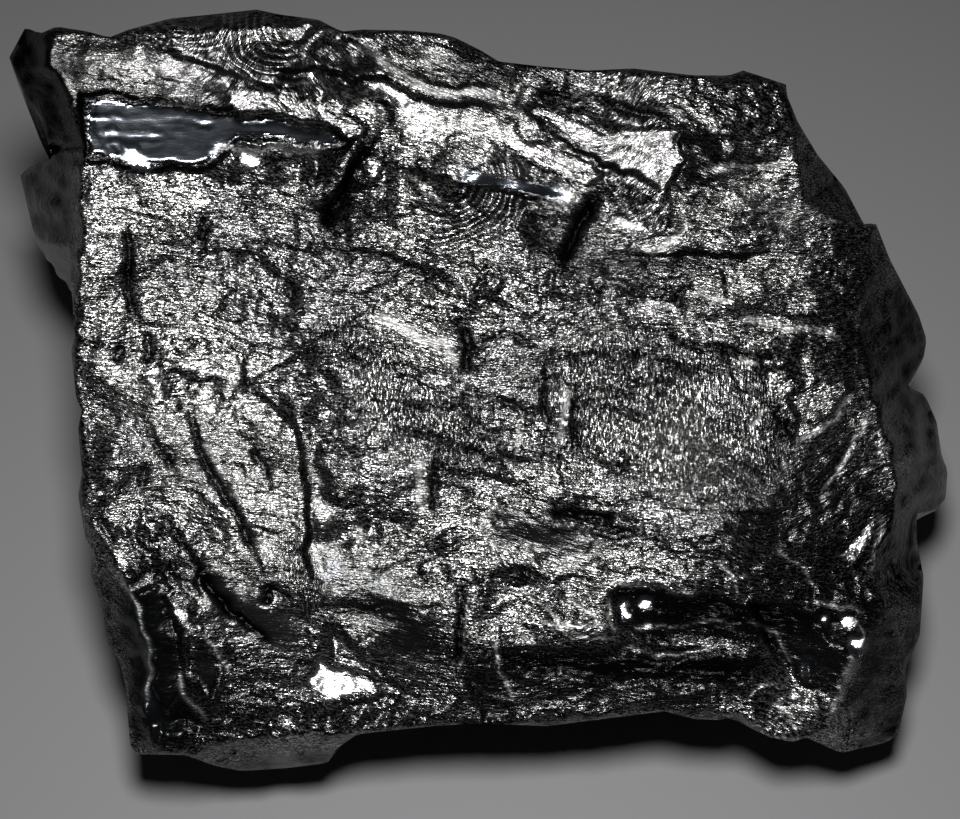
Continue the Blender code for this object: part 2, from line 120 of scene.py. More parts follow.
# Camera and light
VIEW_DISTANCE = 320.0  # camera to the middle of the face, square to the face
VIEW_LENS = 120.0
LIGHT_ABOVE = math.radians(14.0)  # angle of the soft light above the camera, seen from the lump
LIGHT_DISTANCE = 320.0
LIGHT_AIM = (0.0, -58.0, 0.0)  # place, given from the face, that the light points at
LIGHT_WIDTH = 0.06  # metres
LIGHT_POWER = 0.18  # watts
LIGHT_SPREAD = math.radians(75.0)
ROOM_GLOW = 0.012
ROOM_COLOUR = (0.95, 0.97, 1.0, 1.0)
FLOOR_REACH = 2.0  # metres from the middle of the floor to its edges
FLOOR_DROP = 0.0002  # metres that the floor lies under the lump

# Widest outline of the lump, seen square to the face: (u, v), clockwise from the horn at the upper left
OUTLINE = (
    (-47.3, 35.3), (-45.7, 38.3), (-44.2, 37.7), (-42.6, 38.4), (-39.4, 37.9), (-37.3, 37.3), (-35.3, 38.1),
    (-31.2, 39.2), (-28.1, 39.5), (-22.5, 40.1), (-20.2, 39.6), (-16.3, 39.1), (-14, 37.9), (-11.8, 38.1),
    (-7.2, 38), (-4.1, 37.7), (-2.6, 37.3), (0, 36), (1.8, 34.9), (6.1, 34.4), (10.7, 34), (15.3, 34.2),
    (21.4, 33.5), (24.9, 33.5), (26.3, 34), (30.6, 32.6), (30.7, 31.5), (31.8, 28.8), (33.8, 25.5),
    (36.5, 22.2), (38.4, 18.6), (39.6, 18.7), (41, 15.1), (43.9, 9.5), (44.7, 7), (44.4, 5.2), (42.8, 2.3),
    (44.5, 1.5), (45.7, -1.2), (46.2, -4.6), (46.8, -6.1), (46.6, -8.9), (45.7, -10), (43.7, -10.4),
    (43.7, -13.1), (44.4, -16.8), (44, -22.7), (42.6, -25.8), (42.7, -28.7), (41.8, -32.6), (40.5, -33.4),
    (36.1, -34.4), (32.6, -32.8), (31.3, -33.3), (29, -32.8), (27.4, -32), (26.1, -30.5), (24, -31.1),
    (21.4, -31), (18.4, -30.2), (6.6, -31.7), (0, -31.4), (-4.9, -31.7), (-12.4, -32.5), (-14.8, -34.2),
    (-15.4, -35.4), (-19.4, -35.9), (-24, -36.2), (-26.6, -35.7), (-29.6, -34.6), (-34.7, -34.5),
    (-35.2, -33.4), (-35.6, -28), (-36.2, -25.3), (-37.3, -23.5), (-38.2, -19.1), (-39.1, -16.5),
    (-39, -13.8), (-39.6, -13.2), (-40.4, -8.6), (-40, -6.4), (-40.4, -1.8), (-40, 0), (-40.6, 1.2),
    (-41.1, 6), (-40.7, 7.3), (-41.1, 12.5), (-41.3, 16.5), (-44.2, 17), (-44.9, 17.9), (-46.2, 23.5),
    (-45, 24.5), (-43, 25), (-43.4, 26.6), (-44, 29.2), (-46, 32.1),
)

# Rim of the broken face: (u, v, fall of the flank outside it for each millimetre outwards)
RIM = (
    (-42.8, 38, 2), (-37.3, 37.1, 2), (-35, 38, 2.2), (-29.6, 38.4, 2.4), (-24, 38.4, 2.4),
    (-15.5, 38, 2.4), (-11.8, 37.9, 2), (-4.1, 37.5, 2), (1.8, 34.8, 2), (13.5, 33.9, 2), (29.5, 32.4, 1.8),
    (31.2, 30.3, 1.5), (31.8, 25.1, 1.4), (32, 22.9, 1.4), (32.4, 20.5, 1.5), (39.1, 17.9, 1.8),
    (39, 14.4, 1.6), (38.4, 11.9, 1.5), (37.6, 8.6, 1.4), (38.2, 5.5, 1.4), (39.4, 1.5, 1.9),
    (40.5, -2.3, 2.2), (41.6, -3.8, 2.4), (41.8, -7.6, 2.4), (40.8, -12.2, 1.9), (39.3, -15.3, 1.6),
    (39.5, -18.4, 1.4), (40.5, -20, 1.2), (37.6, -24.2, 0.8), (36.7, -27.3, 0.8), (35, -30.2, 0.8),
    (34.4, -31.7, 1), (32.6, -32.6, 1.5), (29, -32.6, 2), (26.1, -30.4, 2), (18.4, -30.1, 2), (0, -31.3, 2),
    (-12.4, -32.4, 2), (-20.5, -32.7, 2), (-26.6, -33.8, 2), (-29.6, -34.2, 2), (-33, -33.5, 1.6),
    (-33.6, -31.1, 1.3), (-33.2, -24.8, 1.3), (-35, -20.5, 1.4), (-35.3, -17.6, 1.4), (-36.7, -14.5, 1.4),
    (-38.8, -11.9, 1.5), (-39.4, -8.6, 1.8), (-40.1, -1.8, 2), (-40.6, 6, 2.2), (-40.3, 12.2, 2.6),
    (-39.9, 17.4, 3), (-40.3, 20.5, 3.2), (-40, 24.5, 3), (-39.4, 26.8, 2.4), (-40.5, 28.8, 2),
    (-41.1, 31.2, 1.9), (-42.2, 33.7, 1.8), (-43.4, 34.6, 1.8),
)

# Steps in the face: (path, drop, width of the riser, length over which the low side climbs back).
# The ground to the right of someone walking the path is the low side.
STEPS = (
    # long right edge of the plate that covers the left of the face, and its short upper edge
    (((-15.7, -20.5), (-16, -18.4), (-17.1, -16.1), (-17.9, -13.8), (-17.4, -10.7), (-18.2, -6.1),
      (-19, -1.8), (-20.6, 0), (-24, 2.4), (-24.5, 6.5)), 0.8, 0.5, 6),
    (((-33.3, 4), (-29, 3.7), (-24.6, 3.2)), 0.5, 0.3, 2.4),
    # slanted notch above the middle
    (((-15.9, 17.6), (-15, 21), (-12.5, 24.5), (-11.2, 27), (-10.6, 28.8)), 1.6, 0.6, 3),
    # lip that hangs over the glassy channel, and the channel's lower edge
    (((-41, 31.7), (-36, 31.6), (-31.5, 31.1), (-28, 30.3), (-24, 29.1), (-19, 28.3), (-13.5, 26.7)), 0.5,
      0.35, 3),
    (((-34, 31.3), (-28, 30.3), (-24, 29.1), (-19, 28.3), (-16.4, 27.4), (-12.8, 26.3)), 1.5, 0.5, 2.4),
    (((-12.5, 24.9), (-16.4, 25.5), (-20, 26), (-24, 26.8), (-27.5, 25), (-29, 24.2), (-33, 24),
      (-36.5, 24.3), (-41, 24.8)), 0.5, 0.3, 2),
    # smooth leaf to the right of the channel: hollow above it
    (((-20, 32.1), (-16.4, 31.2), (-13.6, 30.5), (-11.2, 28.9)), 0.9, 0.8, 3),
    # folds along the top
    (((-22.3, 34.8), (-18.9, 34.6), (-15.8, 34.6), (-11.9, 33.6), (-9.5, 33), (-6.6, 31.7), (-3, 30.9),
      (-0.5, 30.5), (3.4, 29.8)), 1.3, 1, 4),
    (((-16, 38.2), (-14, 36.4), (-11.9, 34.8)), 0.9, 0.8, 3),
    (((-13.4, 38.2), (-11.6, 36.6), (-10, 35)), 0.7, 0.6, 3),
    (((-35, 37.6), (-33, 36.6), (-30, 35.6), (-26, 34.2), (-22, 32.6), (-20, 32)), 0.3, 0.5, 3),
    # ledge that runs on from the slanted notch
    (((-9.6, 25.4), (-5.6, 23.7), (-2.6, 23.2), (0, 22.6), (5, 21.4), (10.5, 20.1)), 1.1, 0.5, 2.2),
    # panels right of the top middle: lower line, channel between the two, crisp right edge
    (((-0.5, 27.7), (1.5, 26.9), (3, 26), (5.3, 24.8), (8.4, 23.3), (12.2, 21.9)), 0.4, 0.3, 2),
    (((17.4, 22), (15.3, 22.9), (12.2, 24.3), (9.2, 25.7), (7.6, 26.9), (5, 28.9), (3.3, 30.8)), 1.4, 0.9,
      3.2),
    (((18.3, 20.6), (18.8, 22.4), (20.5, 25.5), (19.6, 26.9), (20.4, 29.2)), 1.3, 0.3, 2.6),
    # upper right
    (((20.5, 25.2), (26, 25.6), (32, 25.4)), 0.4, 0.35, 2.4),
    (((9.5, 15.8), (15, 15.4), (20, 15.8), (26, 15.6), (32, 16)), 0.6, 0.4, 2.2),
    (((24.5, 10.9), (28.6, 10), (33.6, 9.3), (37.6, 8)), 0.8, 0.4, 2),
    (((10.5, 13.2), (15, 11.6), (20, 11.2)), 0.35, 0.3, 2),
    # short ledges of the left and middle
    (((-24.6, 17.9), (-20.9, 17), (-17.1, 16.1), (-13.6, 13.8)), 0.5, 0.3, 2.6),
    (((-24.4, 2.8), (-20.3, 0.5)), 0.4, 0.3, 2),
    (((-38.6, 9.4), (-31, 8.7), (-23.6, 7.8)), 0.2, 0.3, 2.2),
    (((-12, 1.4), (-6, 0.2), (0, 0.8)), 0.2, 0.3, 2.2),
    (((-6, -6.6), (0, -6), (6.5, -7.4)), 0.35, 0.3, 2.2),
    (((7, -8), (13, -9.2), (19, -8.6)), 0.25, 0.3, 2.2),
    (((20, -9), (26, -10.4), (33, -10)), 0.3, 0.3, 2.4),
    # ledges above the dark lower band, and the grey stripe within it
    (((12, -17.9), (15.3, -18.1), (18.4, -18.5), (24, -19.3), (28.5, -19.6)), 1.3, 0.6, 5),
    (((-2, -15.9), (2, -16.2), (5.1, -15.8), (8.6, -16.6), (12.4, -17)), 0.35, 0.3, 2.4),
    (((0, -23.4), (8, -23.9), (16, -23.4), (24.5, -24)), 0.8, 0.45, 4),
    # curved edge at the lower left, and the wavy band under it
    (((-16, -20.8), (-14.8, -21.8), (-12.6, -23.7), (-8.3, -27.4), (-5.8, -29.2)), 0.7, 0.35, 3),
    (((-19, -29.2), (-14.8, -30.2), (-13.3, -29), (-9.5, -28.6), (-6.2, -30)), 1, 0.45, 2.4),
)

# Where the face bends back: (u and v of the way it bends, distance out, width of the turn, slope beyond it)
BENDS = (
    (0, -1, 20.5, 1.5, 0.3),
    (1, 0, 26, 2.5, 0.22),
    (0, 1, 32, 2, 0.16),
)

# Round-bottomed grooves: (path, depth, half width)
GROOVES = (
    (((-41, 27.2), (-34, 28.2), (-28, 27.9), (-20, 27.6), (-13.5, 26.3)), 0.3, 1.5),
    (((27, -20), (32, -21.4), (38, -21)), 0.5, 0.6),
)

# Sharp cracks (depth above zero) and crests (depth below zero): (path, depth, half width)
CRACKS = (
    # bright lower lip of the glassy channel and the cracks across it
    (((-27.5, 26.6), (-21.9, 26.2), (-15, 25.5)), -0.4, 0.3),
    (((-38.6, 31), (-38.6, 27.7), (-38.2, 26.9), (-37.4, 25.8)), 0.3, 0.2),
    (((-37.4, 27.4), (-36.4, 24.8), (-35.6, 24), (-36.2, 21)), 0.24, 0.22),
    (((-39, 24), (-40, 21.6), (-39.8, 20)), 0.24, 0.25),
    # long crack in the left plate with its bright right lip, and the notch that ends it
    (((-29.2, 2), (-28.1, -3.5), (-26.6, -7.2), (-24.6, -10.4), (-22.8, -14.5), (-21.1, -17.6)), 0.5, 0.22),
    (((-28.4, 1.4), (-27.3, -3.5), (-25.9, -7), (-24, -10.3)), -0.17, 0.3),
    (((-21.3, -17.4), (-21.6, -19.8)), 0.7, 0.35),
    (((-21.2, -17.5), (-18.6, -19.9)), 0.42, 0.3),
    (((-33.3, -9.5), (-31.6, -11.3), (-29.6, -13.8), (-28.4, -16.5)), 0.35, 0.25),
    (((-29, -15), (-27.6, -17.2), (-25.4, -20), (-21.2, -24)), 0.9, 0.5),
    # folds along the top: bright crests above the dark folds, a slit, and fine lines of the leaf and panels
    (((-15.4, 37.3), (-13.6, 35.6), (-11.9, 34.6)), -0.3, 0.3),
    (((-13.6, 37.9), (-10.7, 35.4), (-9.9, 34.6), (-7.5, 33.6), (-5.8, 32.6), (-3.6, 31.8), (3.6, 31.1)),
      -0.4, 0.35),
    (((-12.2, 30.9), (-9.9, 28.9)), -0.25, 0.3),
    (((-16.2, 29.9), (-14, 29.3), (-11.9, 28.3)), 0.18, 0.2),
    (((-28, 36), (-25, 34), (-21, 32.6)), 0.2, 0.3),
    (((-29, 35.2), (-26, 33.2), (-22, 31.8)), 0.16, 0.3),
    (((5.1, 31.7), (10.8, 31.5), (13.2, 30.3), (16.1, 29.5), (20.6, 29.7)), 0.4, 0.5),
    (((16.4, 30.3), (20.8, 29.9)), -0.25, 0.3),
    (((12.4, 27.4), (13.2, 26.4), (14.9, 25.8), (17.1, 24.6)), 0.3, 0.25),
    (((-3.5, 25.2), (1.5, 24.6), (6, 22.6)), 0.14, 0.2),
    (((-8.1, 24.2), (-5.8, 22.2), (-3.4, 20.3)), -0.3, 0.3),
    # slanted notch, crescent in the middle
    (((-10.8, 28.6), (-12, 25.6), (-13.4, 23), (-15, 20.4), (-16, 18)), 0.9, 0.55),
    (((-2.3, 9.8), (-1.1, 6.6), (-1.9, 3.2)), 0.6, 0.6),
    # slit under the wedge panel, and lines across the upper right
    (((12.6, 22.6), (11.2, 21), (10.6, 19.5), (9.6, 18), (8.8, 16.4), (7.6, 13.6)), 1.2, 0.45),
    (((15.7, 16), (17.1, 15.7), (19.4, 17), (21, 18.5)), -0.5, 0.35),
    (((26, 20.5), (33, 19.6), (38.6, 18.6)), -0.14, 0.2),
    (((22, 24.4), (27, 24.6), (31.8, 24.8)), -0.21, 0.4),
    (((23, 28.6), (28, 28.2), (31, 28.4)), 0.21, 0.3),
    (((25.2, 9.2), (30, 8.4), (36.6, 7)), -0.35, 0.4),
    (((21, 14.1), (20, 10.7), (21.1, 8.7)), 0.42, 0.3),
    (((38.4, 11.3), (37.3, 8)), -0.28, 0.3),
    (((10.7, 13), (12.6, 11.4)), 0.28, 0.25),
    (((15.9, 12.5), (20.4, 11.8)), 0.35, 0.25),
    (((21.3, 12.1), (25.3, 10.7)), -0.36, 0.3),
    (((17.1, 8), (20.6, 6.9), (26.3, 5.3), (31.6, 5.3)), 0.45, 0.25),
    (((26, 5), (28, 4.4)), -0.4, 0.3),
    (((28.4, 0.8), (30.4, -1), (31.3, -3.1)), 0.5, 0.3),
    (((26.9, -2), (28, -0.2), (28.7, 0.6)), -0.4, 0.3),
    (((31, -3.3), (34.9, -1.4), (36.7, 1.4)), -0.4, 0.3),
    (((31.7, 17.2), (33.5, 15.4), (36.2, 13.6)), 0.21, 0.25),
    (((21.5, 19.6), (27, 17.9), (31.5, 18)), 0.24, 0.3),
    # cracks and teeth of the left plate
    (((-35.8, 19), (-35.3, 15.9), (-35.5, 11.3), (-35.2, 9.8), (-34.2, 9)), 0.63, 0.3),
    (((-33.3, 8.3), (-33.2, 4.6)), 0.28, 0.25),
    (((-28, 19.6), (-27.5, 15.2)), 0.56, 0.4),
    (((-29.9, 14.8), (-29.3, 11.5)), -0.28, 0.3),
    (((-27.6, 13.6), (-26.6, 10.7)), -0.28, 0.3),
    (((-29.4, 6.9), (-28.6, 6.2)), 0.35, 0.3),
    (((-36.2, 7.2), (-36.5, 4.6)), 0.28, 0.3),
    (((-33, -0.9), (-33, -3.1), (-31.2, -5.2), (-30.1, -6.7)), 0.35, 0.25),
    (((-23.1, -3.4), (-20.9, -7.2)), 0.35, 0.25),
    (((-33.3, -4.4), (-33.6, -8.6)), 0.28, 0.25),
    (((-37.3, -7.7), (-38.2, -10.1), (-37, -13.3), (-36.2, -14.7)), 0.35, 0.25),
    (((-30, 1.5), (-29.6, -0.2)), 0.28, 0.25),
    # middle: seed-shaped hollow, streak that ends in a crescent, scratches
    (((-19.4, 14.4), (-18.9, 12.6), (-19.3, 10)), 0.35, 0.4),
    (((-10.9, 9.8), (-6.6, 7.8), (-3.9, 6.6), (-2.1, 4)), -0.4, 0.6),
    (((-19.4, 3.8), (-15.4, 3.5)), 0.21, 0.22),
    (((-8.2, 24.2), (-5.6, 22.3)), 0.17, 0.2),
    (((-6.2, -4.4), (-6.3, -7.5), (-6.2, -10.8)), -0.4, 0.5),
    (((4, -0.4), (3.8, -2.5), (3.6, -5.2)), -0.36, 0.25),
    (((-16.8, 16.2), (-9.8, 15.4), (-3.7, 13.1), (-0.5, 12.1)), 0.4, 0.3),
    (((-0.3, 13.7), (-0.3, 11.3), (2.4, 10.3)), 0.4, 0.25),
    (((-1.1, 7.4), (2.4, 7.2), (6.5, 5.4)), 0.4, 0.25),
    (((-1.3, 2.4), (-1.3, -2.6)), 0.35, 0.2),
    (((-1.3, 1.5), (2.4, 0.7), (6.1, -0.6)), 0.35, 0.2),
    (((-18, -4.2), (-9.8, -4.5)), 0.3, 0.2),
    (((-9.4, -2.3), (-4.1, -3), (-1.1, -3.8), (2.4, -4.9), (6.8, -5.8)), 0.5, 0.3),
    (((-4.1, -2.4), (-4.7, -5.7), (-4.9, -10.8)), 0.45, 0.3),
    (((6.3, -10.6), (14.2, -10.4)), 0.6, 0.35),
    # upright column right of the middle, and the swirl beside it
    (((6.7, 5.6), (6.4, 0), (7.1, -2.6)), 0.5, 0.25),
    (((8.7, 3.1), (8.5, 0.5), (7.7, -3.2)), -0.4, 0.5),
    (((9.5, 3.5), (9.5, 0.7), (9.1, -5.6)), 0.4, 0.25),
    (((14.1, 3.3), (16.2, 6.1)), 0.4, 0.3),
    # lower left: ridges between the black facets
    (((-28, -21.8), (-26.4, -24), (-24.4, -26.4)), -0.35, 0.3),
    (((-37.2, -14.9), (-35.4, -18.2), (-33.4, -23.1), (-33.1, -27.4), (-33.6, -30.5)), -0.42, 0.3),
    (((-30.2, -25.9), (-29.8, -28.3), (-27, -31.7)), -0.35, 0.3),
    # lower middle
    (((-2, -16.8), (-2.3, -21), (-2.6, -26.5)), 0.63, 0.3),
    (((-1.5, -17.5), (-1.8, -21), (-2.1, -27)), -0.3, 0.25),
    (((0.6, -22.7), (1.7, -25.4), (3.1, -29.4)), -0.42, 0.22),
    (((-0.4, -22.6), (1.2, -22.4), (2.4, -28)), -0.3, 0.18),
    (((3.4, -21.8), (5.6, -23.8)), -0.3, 0.18),
    (((4.6, -18.4), (8.2, -21.4)), -0.36, 0.2),
    (((8.4, -18.4), (11.6, -21)), -0.36, 0.2),
    (((5.6, -21), (9.2, -22.6), (13.6, -23)), -0.4, 0.25),
    (((12.6, -17.4), (18, -17.8), (22.4, -18.6)), -0.32, 0.18),
    (((23, -15), (24.8, -16.6), (26, -18.6)), -0.36, 0.2),
    (((29, -13.4), (31.4, -15.4), (33.6, -18)), -0.32, 0.2),
    (((33, -18.8), (36, -19.6), (39, -20.4)), -0.4, 0.22),
    (((26.4, -21), (29.6, -22), (31.6, -26)), -0.3, 0.2),
    (((29, -28.4), (31.6, -31), (33.6, -32.6)), -0.36, 0.2),
    (((26.6, -29), (28, -27.8), (30, -27.6)), -0.36, 0.2),
    (((-13, -11.8), (-10.7, -13.5)), -0.28, 0.3),
    (((6.6, -21.6), (9.6, -21.4), (12.8, -21.6)), -0.42, 0.3),
    (((12.9, -18.2), (12.7, -20.4), (13.4, -22.6)), -0.42, 0.22),
    (((15.3, -21.4), (19, -21.8), (22.6, -21.2), (26.2, -21.8)), -0.3, 0.2),
    (((36.8, -20.6), (38.4, -22.4), (37.9, -24.2)), -0.35, 0.22),
    (((13.8, -24), (18, -24.4), (24, -24.2)), -0.28, 0.3),
    # right-hand end
    (((38.8, -0.5), (37.5, -2.7), (35.9, -5.7), (34.4, -8.4)), -0.42, 0.3),
    (((38.2, -1.2), (36.8, -3.6), (35, -6.8)), 0.21, 0.25),
    (((35.3, -8.1), (34.2, -8.9)), -0.28, 0.3),
    (((40, -9.8), (39.6, -13.4), (39.1, -17.6)), -0.35, 0.4),
    (((37.6, -24.2), (36.7, -27.3), (35, -30.2), (34.4, -31.7)), -0.35, 0.35),
)

# Domes (height above zero) and hollows (height below zero): (u, v, radius along u, radius along v, height)
DOMES = (
    (14, 4.2, 5.5, 4.6, 0.5),
    (7.9, 4.4, 1.6, 1.4, -0.5),
    (9.2, 1.5, 1.3, 1.8, 0.35),
    (13.1, -11.8, 3.2, 1.2, -0.5),
    (4.2, -16.8, 2.2, 1, -0.5),
    (-3.2, -13.1, 1.4, 1.2, 0.35),
    (-13.2, 6, 5, 4.6, 0.4),
    (-19.4, 12.1, 1.2, 2.4, -0.35),
    (-1.2, 23, 4, 2.6, 0.6),
    (8.3, 11.9, 0.8, 0.9, 0.2),
    (14.1, -5, 1, 0.9, 0.2),
    (11.6, -8, 1, 0.9, 0.2),
    (20.5, -7.2, 0.8, 1.2, 0.2),
    (28.3, -2.9, 2.2, 2.4, 0.4),
    (33.5, -2, 2.8, 2, 0.4),
    (31.3, -26.1, 3.2, 3, -1.3),
    (9, -21.8, 3.6, 2, 0.5),
    (-19, 34.8, 4.4, 1.8, 0.4),
    (-31.5, -16.4, 3.4, 3, -0.8),
    (-37, -6, 2.2, 4.2, 0.7),
    (-10, -15, 6, 5, -0.5),
    (-31.3, -32.5, 2.4, 1.6, 0.8),
)

# Regional leans of the face: (u, v, radius along u, radius along v, slope along u, slope along v)
LEANS = (
    (-2, 34.6, 6, 2.6, 0, -0.3),
    (6.4, 17.4, 3.2, 3.6, -0.15, -0.05),
    (22.6, 24, 3, 6, 0.3, 0.1),
    (7, -13.2, 7, 3.4, 0.05, 0.12),
    (-13.8, 20.6, 2, 3.4, 0.3, 0.1),
    (-21, 27.4, 7, 2, 0.02, 0.22),
    (-11, -20, 7, 5, 0.04, 0.06),
    (-24, -20.5, 4, 3.6, 0.05, 0.06),
    (36, 7, 4, 8, -0.2, 0.1),
    (33, -13, 6, 6, -0.1, 0.16),
    (12, -26, 16, 2.4, 0, 0.1),
    (-29.5, -26, 4, 5, 0.2, 0.2),
)
